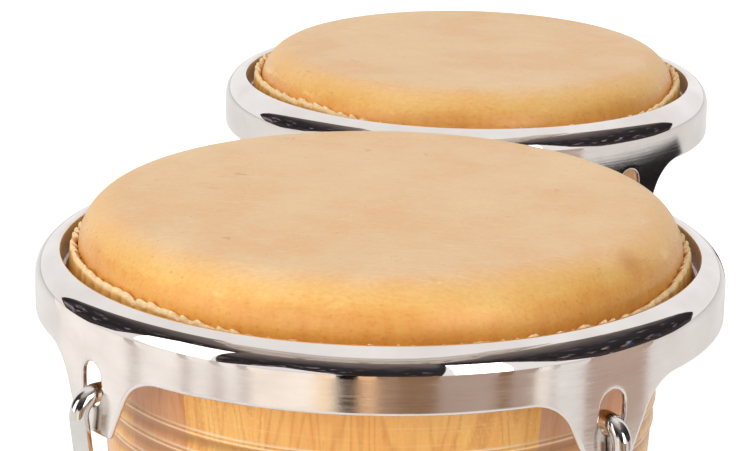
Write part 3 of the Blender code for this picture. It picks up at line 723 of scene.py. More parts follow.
def stave_tree():
    """Stands boards side by side round the axis, each with its own tone and its own grain."""
    tree, node, given = new_tree("ring of staves", ["Phase"], ["Boards", "Seed"])
    spots = node("GeometryNodeMeshLine", {"Count": given["Boards"], "Offset": (0, 0, 0)})
    number = node("GeometryNodeInputIndex")
    step = node("Math", (math.tau, given["Boards"]), operation="DIVIDE")
    angle = node("Math", (number, step, given["Phase"]), operation="MULTIPLY_ADD")
    turn = node("FunctionNodeAxisAngleToRotation", {"Axis": (0, 0, 1), "Angle": angle})
    boards = node(
        "GeometryNodeInstanceOnPoints", {0: spots, "Instance": given["Geometry"], "Rotation": turn}
    )
    for name, shift in (("board", 0), ("tone", 100)):
        seed = node("Math", (given["Seed"], shift), operation="ADD")
        chance = node("FunctionNodeRandomValue", {"ID": number, "Seed": seed})
        stored = {0: boards, "Name": name, "Value": chance}
        boards = node("GeometryNodeStoreNamedAttribute", stored, domain="INSTANCE")
    real = node("GeometryNodeRealizeInstances", (boards,))
    lacquered = node("GeometryNodeSetMaterial", {0: real, "Material": given["Material"]})
    inside = node("GeometryNodeInputNamedAttribute", {"Name": "inside"}, data_type="BOOLEAN")
    bare = node(
        "GeometryNodeSetMaterial", {0: lacquered, "Selection": inside, "Material": BARE_STAVES}
    )
    node("NodeGroupOutput", (bare,))
    return tree


def shell_profile(drum):
    """The outside from the top down as (radius, height, cove: above 0 in a cove, which is painted
    darker as shade, below 0 on a ledge, which is painted paler as a highlight), then the inside."""
    turning_in = (drum.radius - BEARING_RADIUS, drum.bearing)
    outside = [(r, z, 0) for r, z in arc(turning_in, BEARING_RADIUS, 90, 0, 14)]
    for share in (0.2, 0.4, 0.6, 0.8, 0.93):
        height = drum.bearing + (drum.waist + LEDGE_ABOVE - drum.bearing) * share
        outside.append((drum.outside(height), height, 0))
    # A turned ledge catches the light, and a shallow cove below it runs back out to the surface.
    moulding = [
        (2.4, 0.0, 0), (1.9, 0.04, -0.5), (1.5, 0.3, -1), (1.1, 0.5, 0.1), (0.6, 0.62, 0.15),
        (0.1, 0.6, -1), (-0.5, 0.4, 0.1), (-0.9, 0.2, 0.7), (-1.8, -0.4, 1), (-2.7, -0.75, 1),
        (-3.6, -0.68, 0.8), (-4.6, -0.3, 0.3), (-5.5, -0.05, 0), (-5.9, 0.0, 0),
    ]
    for i in range(GROOVE_COUNT):
        middle = drum.waist - i * GROOVE_PITCH
        for offset, relief, cove in moulding:
            outside.append((drum.outside(middle + offset) + relief, middle + offset, cove))
    last = outside[-1][1]
    for i in range(1, 5):
        height = last + (drum.base - last) * i / 4
        outside.append((drum.outside(height), height, 0))
    inside = []
    for share in (0, 0.25, 0.5, 0.75, 1):
        height = drum.base + SHELL_HEIGHT * share
        inside.append((drum.bore(height), height))
    return outside, inside


def make_shell(drum, tree):
    """One stave's solid, its two sides plane and meeting its neighbours', set round by the tree."""
    outside, inside = shell_profile(drum)
    profile = [(r, z) for r, z, _ in outside] + inside
    coves = [cove for *_, cove in outside] + [0] * len(inside)
    count = len(profile)
    width = math.tau / STAVE_COUNT / STAVE_STEPS
    points = [polar(r, width * i, z) for i in range(STAVE_STEPS + 1) for r, z in profile]
    lines = [[i * count + j for i in range(STAVE_STEPS + 1)] for j in range(count)]
    faces = strips(lines, closed=True)
    faces += [tuple(line[0] for line in lines), tuple(line[-1] for line in reversed(lines))]
    mesh = plain_mesh("stave", points, faces=faces, cove=coves * (STAVE_STEPS + 1))
    bare = [j >= len(outside) - 1 for j in range(count) for _ in range(STAVE_STEPS)]
    mesh.attributes.new("inside", "BOOLEAN", "FACE").data.foreach_set("value", bare + [False] * 2)
    shell = grown(
        f"{drum.name}_stave_shell",
        mesh,
        tree,
        phase=STAVE_PHASE,
        boards=STAVE_COUNT,
        seed=SEED + drum.side,
        material=STAVES,
    )
    place_piece(shell, on_axis(drum), "drums", [f"{drum.name}_shell"])


# Heads


def make_head(drum):
    """The skin: drawn flat, over the bearing edge, down as a collar and round the hoop."""
    turning_in = (drum.radius - BEARING_RADIUS, drum.bearing)
    wire = (drum.hoop_radius, drum.hoop_height)
    rings = [drum.radius * share for share in (0.12, 0.3, 0.5, 0.7)]
    outer = [(0.0, drum.head_top)] + [(r, drum.head_top) for r in rings]
    outer += arc(turning_in, BEARING_RADIUS + FIT + SKIN, 90, 0, 18)
    fold = HOOP_WIRE_RADIUS + FIT
    collar = drum.radius + FIT + SKIN
    for share in (0.4, 0.8):
        outer.append((collar, drum.bearing + (drum.hoop_height - drum.bearing) * share))
    inner = [(0.0, drum.head_top - SKIN)] + [(r, drum.head_top - SKIN) for r in rings]
    inner += arc(turning_in, BEARING_RADIUS + FIT, 90, 0, 10)
    wrap = arc(wire, drum.wrap_radius, 180, 450, 30)
    lining = arc(wire, fold, 450, 180, 30)
    # Outside of the collar, round the wire on its inner side, the standing cut, back round
    # the outside of the wrap and up inside the collar.
    profile = outer + list(reversed(lining)) + wrap[::-1] + inner[::-1]
    smooth = len(outer)

    def uneven(j, angle, radius, height):
        """The skin is never quite even: it dips a little on top and bulges on the collar."""
        if j >= smooth or radius == 0:
            return radius, height
        spot = Vector(polar(radius, angle, height + drum.side * SKINS_APART))
        if height > drum.head_top - 0.5:
            return radius, height - HEAD_DIP * (1 + noise.noise(spot / HEAD_DIP_SIZE))
        share = min(max((drum.bearing + COLLAR_EVEN - height) / COLLAR_FADE, 0), 1)
        swell = COLLAR_SWELL * (1 + noise.noise(spot / COLLAR_SWELL_SIZE))
        swell += COLLAR_DENTS * noise.noise(spot / COLLAR_DENT_SIZE)
        return radius + max(swell, 0) * share, height

    name = f"{drum.name}_rawhide"
    head = add_object(name, turned(name, profile, reshape=uneven))
    place_piece(head, on_axis(drum), "drums", [f"{drum.name}_head"], RAWHIDE)


def crimp_tree():
    """A band of skin standing round the hoop. It leans and folds more towards its ragged crest."""
    tree, node, given = new_tree(
        "crimped edge of a skin",
        ["Radius", "Foot", "Crest", "Thickness", "Lean", "Fold depth", "Low side"],
        ["Folds", "Seed"],
    )
    # Ten columns to a fold, and 16 steps round the section.
    around = node("Math", (given["Folds"], 10, 1), operation="MULTIPLY_ADD")
    grid = node("GeometryNodeMeshGrid", (1, 1, around, 17))
    spot = node("SeparateXYZ", (node("GeometryNodeInputPosition"),))
    angle = node("Math", (spot.outputs["X"], math.tau, math.pi), operation="MULTIPLY_ADD")
    loop = node("Math", (spot.outputs["Y"], math.tau, math.pi), operation="MULTIPLY_ADD")
    cosine = node("Math", (angle,), operation="COSINE")
    sine = node("Math", (angle,), operation="SINE")
    # The section is a blunt oval: its height and its two sides follow one turn of the loop.
    fall = node("Math", (loop,), operation="COSINE")
    rise = node("Math", (fall, -0.5, 0.5), operation="MULTIPLY_ADD")
    side = node("Math", (loop,), operation="SINE")
    broad = node("Math", (node("Math", (side,), operation="ABSOLUTE"), 0.35), operation="POWER")
    signed = node("Math", (broad, node("Math", (side,), operation="SIGN")), operation="MULTIPLY")
    circle = node("CombineXYZ", (cosine, sine, given["Seed"]))
    waver = node("TexNoise", {0: circle, "Scale": 11, "Detail": 2})
    ragged = node("TexNoise", {0: circle, "Scale": 15, "Detail": 4, "Roughness": 0.7})
    turns = node("Math", (angle, given["Folds"]), operation="MULTIPLY")
    uneven = node("Math", (waver, 13.0, turns), operation="MULTIPLY_ADD")
    wave = node("Math", (uneven,), operation="SINE")
    strong = node("MapRange", (ragged, 0.35, 0.6, 0.55, 1.0))
    swing = node("Math", (wave, strong), operation="MULTIPLY")
    swung = node("Math", (swing, given["Fold depth"], given["Lean"]), operation="MULTIPLY_ADD")
    out = node("Math", (swung, rise, given["Radius"]), operation="MULTIPLY_ADD")
    half = node("Math", (given["Thickness"], 0.5), operation="MULTIPLY")
    radius = node("Math", (signed, half, out), operation="MULTIPLY_ADD")
    # The crest is lower round one side, where the head has been struck and wiped most.
    facing = node("Math", (angle, given["Low side"]), operation="SUBTRACT")
    near = node("MapRange", (node("Math", (facing,), operation="COSINE"), 0.5, 0.8, 0, 3.6))
    frayed = node("MapRange", (ragged, 0.3, 0.7, -1.0, 1.0))
    torn = node("Math", (wave, 0.8, frayed), operation="MULTIPLY_ADD")
    raised = node("Math", (given["Crest"], torn), operation="ADD")
    crest = node("Math", (raised, near), operation="SUBTRACT")
    span = node("Math", (crest, given["Foot"]), operation="SUBTRACT")
    height = node("Math", (span, rise, given["Foot"]), operation="MULTIPLY_ADD")
    folded = node("Math", (wave, 0.5, 0.5), operation="MULTIPLY_ADD")
    # The colour nodes need the flat grid's own fields, so both are stored before it is shaped.
    stored = grid
    for name, value in (("fold", folded), ("rise", rise)):
        stored = node("GeometryNodeStoreNamedAttribute", {0: stored, "Name": name, "Value": value})
    x, y = (node("Math", (radius, share), operation="MULTIPLY") for share in (cosine, sine))
    spot = node("CombineXYZ", (x, y, height))
    shaped = node("GeometryNodeSetPosition", {0: stored, "Position": spot})
    merged = node("GeometryNodeMergeByDistance", {0: shaped, "Distance": 0.01})
    return close_tree(tree, merged, given["Material"])


def make_crimped_edge(drum, tree):
    edge = grown(
        f"{drum.name}_rawhide_cut_edge",
        bpy.data.meshes.new("edge"),
        tree,
        radius=drum.rim_inner - CRIMP_SET_IN,
        foot=drum.rim_top - RIM_THROAT - CRIMP_FOOT,
        crest=drum.rim_top + CRIMP_RISE,
        thickness=CRIMP_THICKNESS,
        lean=CRIMP_LEAN,
        fold_depth=CRIMP_DEPTH,
        low_side=CRIMP_LOW_SIDE,
        folds=round(math.tau * drum.rim_inner / CRIMP_PITCH),
        seed=SEED + drum.side,
        material=CUT_RAWHIDE,
    )
    turned_outward(edge.data)
    place_piece(edge, on_axis(drum), "drums", crease=60)


# Rims


def lug_outline():
    """Half of the skirt's lower edge seen from outside, as (across, drop, outward normal)."""
    slope = math.tan(LUG_FLARE)
    reach = LUG_CORNER / math.tan(math.radians(45) + LUG_FLARE / 2)
    fillet = (LUG_HALF_WIDTH - reach, LUG_DEPTH - LUG_CORNER)
    slot_reach = SLOT_WIDTH / 2 + EDGE_ROUND
    outline = [
        (slot_reach * math.sin(math.radians(90 * i / 9)), LUG_DEPTH, (0, 1)) for i in range(10)
    ]
    outline += [((slot_reach + fillet[0]) / 2, LUG_DEPTH, (0, 1))]
    for i in range(5):
        a = math.radians(90 - (90 - math.degrees(LUG_FLARE)) * i / 4)
        n = (math.cos(a), math.sin(a))
        outline.append((fillet[0] + LUG_CORNER * n[0], fillet[1] + LUG_CORNER * n[1], n))
    side = (math.cos(LUG_FLARE), math.sin(LUG_FLARE))
    centre_drop = SKIRT_DEPTH + ARCH_RADIUS
    end = Vector((0, centre_drop - ARCH_RADIUS * math.sin(LUG_FLARE)))
    end.x = LUG_HALF_WIDTH + (LUG_DEPTH - end.y) * slope
    start = Vector(outline[-1][:2])
    for i in range(1, 8):
        point = start.lerp(end, i / 7)
        outline.append((point.x, point.y, side))
    centre = Vector((end.x + ARCH_RADIUS * math.cos(LUG_FLARE), centre_drop))
    for i in range(1, 17):
        a = LUG_FLARE + (math.pi / 2 - LUG_FLARE) * i / 16
        n = (math.cos(a), math.sin(a))
        outline.append((centre.x - ARCH_RADIUS * n[0], centre.y - ARCH_RADIUS * n[1], n))
    return outline


def rim_section(drum):
    """The rim's section above the skirt: its outer face from the lip, and its inner face."""
    inner = drum.rim_inner
    middle = (inner, -RIM_SHOULDER)
    lip = RIM_WALL - RIM_THROAT
    outside = [(inner - RIM_LIP, lip), (inner - LIP_ROUND, lip)]
    outside += curved((inner - LIP_ROUND, lip), (inner, lip), (inner, lip + LIP_ROUND), 2)
    outside += [(inner, -6.0), (inner, -3.0), (inner, -CROWN_BEND)]
    crown = arc(middle, RIM_SHOULDER, CROWN_START, 0, 30)
    outside += curved((inner, -CROWN_BEND), (inner, -0.05), crown[0], 8)
    outside += crown[1:]
    hollow = RIM_SHOULDER - RIM_WALL
    back = math.degrees(math.acos(RIM_WALL / hollow))
    path = [(inner - RIM_LIP, -RIM_THROAT), (inner + RIM_WALL, -RIM_THROAT)]
    path += arc(middle, hollow, back, 0, 12)
    lengths = [0.0]
    for a, b in zip(path, path[1:]):
        lengths.append(lengths[-1] + math.dist(a, b))
    inside = []
    for i in range(len(outside)):
        want = lengths[-1] * i / (len(outside) - 1)
        k = max(j for j, length in enumerate(lengths) if length <= want + 1e-9)
        if k == len(path) - 1:
            inside.append(path[-1])
            continue
        share = (want - lengths[k]) / (lengths[k + 1] - lengths[k])
        inside.append(tuple(path[k][n] + share * (path[k + 1][n] - path[k][n]) for n in (0, 1)))
    return outside, inside


def make_rim(drum):
    """The pressed rim as one sheet: lip, rolled shoulder, skirt and slotted lugs, all quads.
    Points are kept by a key: the side, the column round the rim and the row."""
    outer = drum.rim_outer
    half = lug_outline()
    far = math.asin(half[-1][0] / outer)
    for i in range(1, GAP_STEPS + 1):
        across = outer * math.sin(far + (math.pi / LUG_COUNT - far) * i / GAP_STEPS)
        half.append((across, SKIRT_DEPTH, (0, 1)))
    # Columns run from one gap's middle to the next: left half mirrored, then the right half.
    columns = [(-x, drop, (-n[0], n[1])) for x, drop, n in reversed(half[1:])] + half[:-1]
    per_lug, last = len(columns), sum(SKIRT_ROWS)
    first, final = SKIRT_ROWS[0], SKIRT_ROWS[0] + SKIRT_ROWS[1]
    slot_radius = SLOT_WIDTH / 2
    hole = slot_radius + EDGE_ROUND
    slot_top = SLOT_DROP + slot_radius
    slot_bottom = SLOT_DROP + SLOT_LENGTH - slot_radius
    slotted = [i for i, (across, *_) in enumerate(columns) if abs(across) <= hole + 1e-6]
    points, satins, faces, place = [], [], [], {}

    def column_points(number):
        """Where the rows cross a column in the flat, with the slot's gap for its columns."""
        across, drop, normal = columns[number]
        foot = Vector((across - normal[0] * EDGE_ROUND, drop - normal[1] * EDGE_ROUND))
        head = Vector((across, RIM_SHOULDER))
        if number in slotted:
            bow = math.sqrt(max(hole**2 - across**2, 0))
            gap = [Vector((across, slot_top - bow)), Vector((across, slot_bottom + bow))]
        else:
            ends = LUG_DEPTH - EDGE_ROUND - RIM_SHOULDER
            gap = [head.lerp(foot, (end - RIM_SHOULDER) / ends) for end in (slot_top, slot_bottom)]
        line = [head]
        for count, a, b in zip(SKIRT_ROWS, [head, *gap], [*gap, foot]):
            line += [a.lerp(b, i / count) for i in range(1, count + 1)]
        return line

    def angle_at(lug, across):
        return FIRST_LUG + lug * math.tau / LUG_COUNT + math.asin(across / outer)

    def vertex(key, radius, angle, height, satin=1.0):
        if key not in place:
            place[key] = len(points)
            points.append(polar(radius, angle, height))
            satins.append(satin)
        return place[key]

    def on_skirt(key, lug, flat, depth):
        """A point of the skirt from its flat place, as deep below the outer face as told."""
        return vertex(key, outer - depth, angle_at(lug, flat[0]), -flat[1])

    def rounded_edge(key, row, lug, origin, outward, reach=0.0):
        """The points round the sheet's edge, from its outer face to its inner face."""
        ring = [place[(0, key, row)]]
        for step, (back, depth) in enumerate(edge_round()):
            tag = ("edge", key, row, step)
            ring.append(on_skirt(tag, lug, origin + outward * (reach + back), depth))
        return ring + [place[(1, key, row)]]

    def satin_at(side, radius, height):
        """How satin the turned section is: most on the lip's wall, and not at all on the crown."""
        if side == 0 and height < -1 and radius < drum.rim_inner + 0.1:
            return WALL_SATIN
        return 0.0 if height > -MIRROR_DEPTH else SHOULDER_SATIN

    lines = [column_points(number) for number in range(per_lug)]
    for k in range(per_lug * LUG_COUNT):
        following = (k + 1) % (per_lug * LUG_COUNT)
        pairs = [(key, *divmod(key, per_lug)) for key in (k, following)]
        for side, depth in enumerate((0, RIM_WALL)):
            rows = [
                [on_skirt((side, key, row), lug, lines[i][row], depth) for row in range(last + 1)]
                for key, lug, i in pairs
            ]
            quads = strips(rows)
            if k % per_lug in slotted[:-1]:
                del quads[first:final]
            faces += quads
        edges = []
        for key, lug, i in pairs:
            edge, outward = Vector(columns[i][:2]), Vector(columns[i][2])
            edges.append(rounded_edge(key, last, lug, edge, -outward))
        faces += strips(edges)
        # Above the skirt, the turned section.
        rings = []
        for key, lug, i in pairs:
            angle = angle_at(lug, lines[i][0].x)
            chains = []
            for side, path in enumerate(rim_section(drum)):
                chain = [
                    vertex(("turned", side, key, j), r, angle, z, satin_at(side, r, z))
                    for j, (r, z) in enumerate(path[:-1])
                ]
                chains.append(chain + [place[(side, key, 0)]])
            rings.append(chains[0][::-1] + chains[1])
        faces += strips(rings)
    # The slots' rounded edges, each round the loop of points that bound its hole.
    loop = [(i, first) for i in slotted]
    loop += [(slotted[-1], row) for row in range(first + 1, final)]
    loop += [(i, final) for i in reversed(slotted)]
    loop += [(slotted[0], row) for row in range(final - 1, first, -1)]
    for lug in range(LUG_COUNT):
        edges = []
        for i, row in loop:
            flat = lines[i][row]
            centre = Vector((0, min(max(flat.y, slot_top), slot_bottom)))
            inward = (flat - centre).normalized()
            edges.append(rounded_edge(lug * per_lug + i, row, lug, centre, inward, slot_radius))
        faces += strips(edges, closed=True)
    name, body = f"{drum.name}_chromed_rim", f"{drum.name}_rim"
    rim = add_object(name, turned_outward(plain_mesh(name, points, faces=faces, satin=satins)))
    matrix = Matrix.Translation((drum.axis, 0, drum.rim_top))
    place_piece(rim, matrix, body, [body], RIM_CHROME, crease=50)


def edge_round():
    """Between the sheet's two faces: how far back from the edge and how deep, along its round."""
    turn = [math.radians(90 * i / 4) for i in range(1, 5)]
    front = [(EDGE_ROUND * (1 - math.sin(a)), EDGE_ROUND * (1 - math.cos(a))) for a in turn]
    return front + [(back, RIM_WALL - depth) for back, depth in reversed(front)]


# Rods, nuts and washers


def rod_line(drum):
    """The rod in its lug's plane, as (radius, height): hook centre, ear's hole and lean."""
    slot_bottom = drum.rim_top - SLOT_DROP - SLOT_LENGTH
    bend_height = slot_bottom + FIT - math.sqrt((HOOK_BEND - ROD_RADIUS) ** 2 - HOOK_SET_IN**2)
    bend = Vector((drum.rim_outer - HOOK_SET_IN, bend_height))
    ear = Vector((drum.ear_radius, RING_HEIGHT - EAR_DROP))
    reach = ear - bend
    angle = math.atan2(reach.y, reach.x) + math.acos(HOOK_BEND / reach.length)
    tangent = bend + HOOK_BEND * Vector((math.cos(angle), math.sin(angle)))
    return bend, ear, math.atan2(tangent.x - ear.x, tangent.y - ear.y)


def rod_frame(drum, turn):
    """A rod's own frame: its origin at the middle of its ear's hole, +Z up along the rod."""
    _, ear, lean = rod_line(drum)
    hole = Matrix.Translation((ear.x, 0, ear.y))
    return on_axis(drum) @ turn @ hole @ Matrix.Rotation(lean, 4, "Y")


def nut_top():
    return -EAR_THICKNESS / 2 - FIT - WASHER_THICKNESS - FIT


def rod_path(drum):
    """The rod's middle line from its lower end, as (x, z, radius) in its own frame."""
    bend, ear, lean = rod_line(drum)
    end = nut_top() - NUT_HEIGHT - ROD_PAST_NUT
    thread = end + ROD_END_CHAMFER
    points = [(0, end, ROD_END_RADIUS), (0, thread, THREAD_RADIUS)]
    # Eight steps to a turn are fine enough for the thread's helix.
    steps = int(THREAD_LENGTH / THREAD_PITCH * 8)
    for i in range(1, steps):
        points.append((0, thread + (THREAD_LENGTH - 1.4) * i / steps, THREAD_RADIUS))
    # The thread's last step runs out to the rod's own radius.
    points.append((0, end + THREAD_LENGTH + 0.4, ROD_RADIUS))
    level = bend.y + HOOK_BEND
    inner = Vector((bend.x - HOOK_REACH, level - TIP_BEND))
    path = arc(bend, HOOK_BEND, -math.degrees(lean), 90, 20)
    path += arc(inner, TIP_BEND, 90, 90 + TIP_TURN, 12)
    # The tip runs on straight, and its sawn end is rounded off.
    down = math.radians(90 + TIP_TURN)
    onward = Vector((-math.sin(down), math.cos(down)))
    start = Vector(path[-1])
    for short, girth in TIP_ROUND:
        path.append((*(start + onward * (TIP_LENGTH - short)), girth))
    sine, cosine = math.sin(lean), math.cos(lean)
    for radius, height, *girth in path:
        out, up = radius - ear.x, height - ear.y
        x, z = out * cosine - up * sine, out * sine + up * cosine
        points.append((x, z, girth[0] if girth else ROD_RADIUS))
    low, top = points[steps + 1], points[steps + 2]
    runs = [(0, low[1] + (top[1] - low[1]) * i / 6, ROD_RADIUS) for i in range(1, 6)]
    return points[: steps + 2] + runs + points[steps + 2 :]


def bar_tree():
    """A round bar along a path, its radius from the path's own girth, with a rolled thread."""
    name = "round bar with a rolled thread"
    tree, node, given = new_tree(name, ["Pitch", "Depth", "Threaded"], ["Sides"])
    path = node("GeometryNodeMeshToCurve", (given["Geometry"],))
    along = node("GeometryNodeSplineParameter")
    held = node(
        "GeometryNodeStoreNamedAttribute",
        {0: path, "Name": "along", "Value": along.outputs["Length"]},
    )
    ring = node("GeometryNodeCurvePrimitiveCircle", {"Resolution": given["Sides"], "Radius": 1})
    turned_share = node("GeometryNodeSplineParameter")
    marked = node(
        "GeometryNodeStoreNamedAttribute",
        {0: ring, "Name": "share", "Value": turned_share.outputs["Factor"]},
    )
    girth = node("GeometryNodeInputNamedAttribute", {"Name": "girth"})
    bar = node("GeometryNodeCurveToMesh", {0: held, 1: marked, "Scale": girth, "Fill Caps": True})
    length = node("GeometryNodeInputNamedAttribute", {"Name": "along"})
    share = node("GeometryNodeInputNamedAttribute", {"Name": "share"})
    turns = node("Math", (length, given["Pitch"]), operation="DIVIDE")
    helix = node("Math", (turns, share), operation="SUBTRACT")
    # A rolled thread has flat crests and roots, and sloping flanks.
    flank = node("Math", (helix, 0.5), operation="PINGPONG")
    root = node("MapRange", (flank, 0.08, 0.42))
    fade = node("Math", (given["Threaded"], length), operation="SUBTRACT")
    within = node("MapRange", (fade, 0, 1.5))
    sunk = node("Math", (root, within), operation="MULTIPLY")
    deep = node("Math", (sunk, given["Depth"]), operation="MULTIPLY")
    inward = node("Math", (deep, -1), operation="MULTIPLY")
    offset = node(
        "VectorMath", {0: node("GeometryNodeInputNormal"), "Scale": inward}, operation="SCALE"
    )
    cut = node("GeometryNodeSetPosition", {0: bar, "Offset": offset})
    return close_tree(tree, cut, given["Material"])


def make_rods(drum, tree):
    path = rod_path(drum)
    points = [(x, 0, z) for x, z, _ in path]
    edges = [(i, i + 1) for i in range(len(path) - 1)]
    mesh = plain_mesh(f"{drum.name}_rod_path", points, edges, girth=[r for *_, r in path])
    for number, turn in enumerate(lug_turns(), start=1):
        rod = grown(
            f"{drum.name}_hooked_rod_{number}",
            mesh.copy(),
            tree,
            pitch=THREAD_PITCH,
            depth=THREAD_DEPTH,
            threaded=THREAD_LENGTH,
            sides=ROD_SIDES,
            material=CHROME,
        )
        turned_outward(rod.data)
        replaced = [f"{drum.name}_tension_rod_{number}"]
        place_piece(rod, rod_frame(drum, turn), f"{drum.name}_rod_{number}", replaced)


def hexagon(name, bottom, top, bore=0.0, both=True):
    """A hexagon with its corners turned back at 30 degrees, bored or solid."""
    flat = NUT_ACROSS_FLATS / 2
    face = flat * NUT_FACE
    sections = []
    for i in range(FINE_STEPS):
        angle = math.tau * i / FINE_STEPS
        lean = (angle + math.pi / 6) % (math.pi / 3) - math.pi / 6
        reach = flat / math.cos(lean)
        cut = (reach - face) * math.tan(math.radians(30))
        section = [(face, top), (reach, top - cut), (reach, bottom + (cut if both else 0))]
        if both:
            section.append((face, bottom))
        if bore:
            mouth = bore + BORE_CHAMFER
            section += [(mouth, bottom), (bore, bottom + BORE_CHAMFER)]
            section += [(bore, top - BORE_CHAMFER), (mouth, top)]
        sections.append([polar(r, angle, z) for r, z in section])
    return ringed(name, sections, capped=not bore)


def make_nuts(drum):
    """A hexagon nut on each rod, and the flat washer between it and the ring's ear."""
    top = nut_top()
    bore = THREAD_RADIUS + WASHER_PLAY
    low, high = top + FIT, top + FIT + WASHER_THICKNESS
    corners = [(WASHER_RADIUS, low), (bore, low), (bore, high), (WASHER_RADIUS, high)]
    section = rounded(corners, WASHER_ROUND)
    for number, turn in enumerate(lug_turns(), start=1):
        frame_here = rod_frame(drum, turn)
        shape = hexagon("nut", top - NUT_HEIGHT, top, bore=THREAD_RADIUS + NUT_PLAY)
        nut = add_object(f"{drum.name}_hexagon_nut_{number}", shape)
        eased(nut, NUT_EASE, segments=2, angle=25)
        replaced = [f"{drum.name}_tuning_nut_{number}"]
        place_piece(nut, frame_here, f"{drum.name}_nut_{number}", replaced, CHROME)
        shape = turned("washer", section, steps=64)
        washer = add_object(f"{drum.name}_flat_washer_{number}", shape)
        replaced = [f"{drum.name}_washer_{number}"]
        place_piece(washer, frame_here, "drums", replaced, ZINC)


# Bottom rings


def ear_plate():
    """An ear about its hole: round at its end and wide at its root in the ring's wall."""
    root = -EAR_REACH - RING_WALL * 0.6
    reach = math.hypot(root - RING_WALL, EAR_ROOT_HALF_WIDTH)
    slope = math.atan2(EAR_ROOT_HALF_WIDTH, RING_WALL - root)
    start = math.pi - (slope + math.acos(EAR_END_RADIUS / reach))
    side = Vector((math.cos(start), math.sin(start)))
    half = EAR_THICKNESS / 2
    sections = []
    for i in range(FINE_STEPS):
        angle = math.tau * i / FINE_STEPS - math.pi
        ray = Vector((math.cos(angle), math.sin(angle)))
        distance = EAR_END_RADIUS
        if abs(angle) > start:
            distance /= max(Vector((ray.x, abs(ray.y))).dot(side), 1e-6)
            if ray.x < 0:
                distance = min(distance, root / ray.x)
        outer = ray * distance
        inner = outer.normalized() * EAR_HOLE_RADIUS
        corners = ((outer, half), (outer, -half), (inner, -half), (inner, half))
        sections.append([(spot.x, spot.y, height) for spot, height in corners])
    return eased(add_object("ear", ringed("ear", sections)), PLATE_EASE, angle=60)


def make_ring(drum, ear):
    """The steel ring the shell stands in, with its ears welded on."""
    foot, top = drum.outside(drum.base) + FIT, drum.outside(RING_HEIGHT) + FIT
    corner = foot + RING_WALL - RING_CORNER
    section = [(top + RING_WALL, RING_HEIGHT)]
    section += arc((corner, RING_CORNER), RING_CORNER, 0, -90, 6)
    section += [(foot - FIT - RING_LEDGE, 0), (foot - FIT - RING_LEDGE, RING_FLOOR)]
    section += [(foot, RING_FLOOR), (top, RING_HEIGHT)]
    to_axis = on_axis(drum).inverted()
    ears = [(ear.data, to_axis @ rod_frame(drum, turn)) for turn in lug_turns()]
    name = f"{drum.name}_steel_ring"
    ring = add_object(name, joined(turned(name, rounded(section, TURNED_EASE)), *ears))
    place_piece(ring, on_axis(drum), "drums", [f"{drum.name}_bottom_ring"], CHROME)


# Block, bolts and plates


def make_block():
    """The block is sawn, hollowed to both shells, and its edges are eased with a router."""
    middle = Vector(((HEMBRA.axis + MACHO.axis) / 2, 0, BLOCK_BASE + BLOCK_HEIGHT / 2))
    half = Vector((DRUM_SPACING * BLANK_SHARE, BLOCK_WIDTH, BLOCK_HEIGHT)) / 2
    corners = [(x * half.x, y * half.y) for x, y in ((-1, -1), (1, -1), (1, 1), (-1, 1))]
    sections = [[(middle.x + x, y, middle.z + z) for z in (half.z, -half.z)] for x, y in corners]
    block = add_object("timber_block", ringed("block", sections, capped=True))
    cutters = []
    for drum in (HEMBRA, MACHO):
        wall = [(drum.outside(h) + FIT, h) for h in (drum.top, drum.waist, drum.base)]
        profile = [(NEAR_AXIS, drum.top), *wall, (NEAR_AXIS, drum.base)]
        cutter = add_object(f"{drum.name}_hollow", turned("hollow", profile))
        cutter.data.transform(on_axis(drum))
        cut = block.modifiers.new("hollow", "BOOLEAN")
        cut.operation = "DIFFERENCE"
        cut.object = cutter
        cut.solver = "EXACT"
        cutters.append(cutter)
    settled(block)
    for cutter in cutters:
        bpy.data.objects.remove(cutter)
    eased(block, BLOCK_EASE, segments=5, angle=60)
    as_is = Matrix.Identity(4)
    place_piece(block, as_is, "drums", ["centre_block"], TIMBER, crease=50)


def make_plate(drum, low, high):
    """A plate curved to the shell's bore, between two heights."""
    facing = math.pi if drum.side > 0 else 0.0
    across, up = 24, 12
    points, layers = [], []
    for depth in (0, PLATE_THICKNESS):
        layer = []
        for i in range(across + 1):
            angle = facing + PLATE_HALF_ANGLE * (2 * i / across - 1)
            layer.append(list(range(len(points), len(points) + up + 1)))
            for j in range(up + 1):
                height = low + (high - low) * j / up
                points.append(polar(drum.bore(height) - FIT - depth, angle, height))
        layers.append(layer)
    borders = [(rows[0], rows[-1], [r[0] for r in rows], [r[-1] for r in rows]) for rows in layers]
    faces = strips(layers[0]) + strips(layers[1])
    for edges in zip(*borders):
        faces += strips(edges)
    mesh = turned_outward(plain_mesh("plate", points, faces=faces), MERGED)
    plate = eased(add_object(f"{drum.name}_curved_plate", mesh), PLATE_EASE)
    place_piece(plate, on_axis(drum), "drums", [f"{drum.name}_backing_plate"], ZINC)


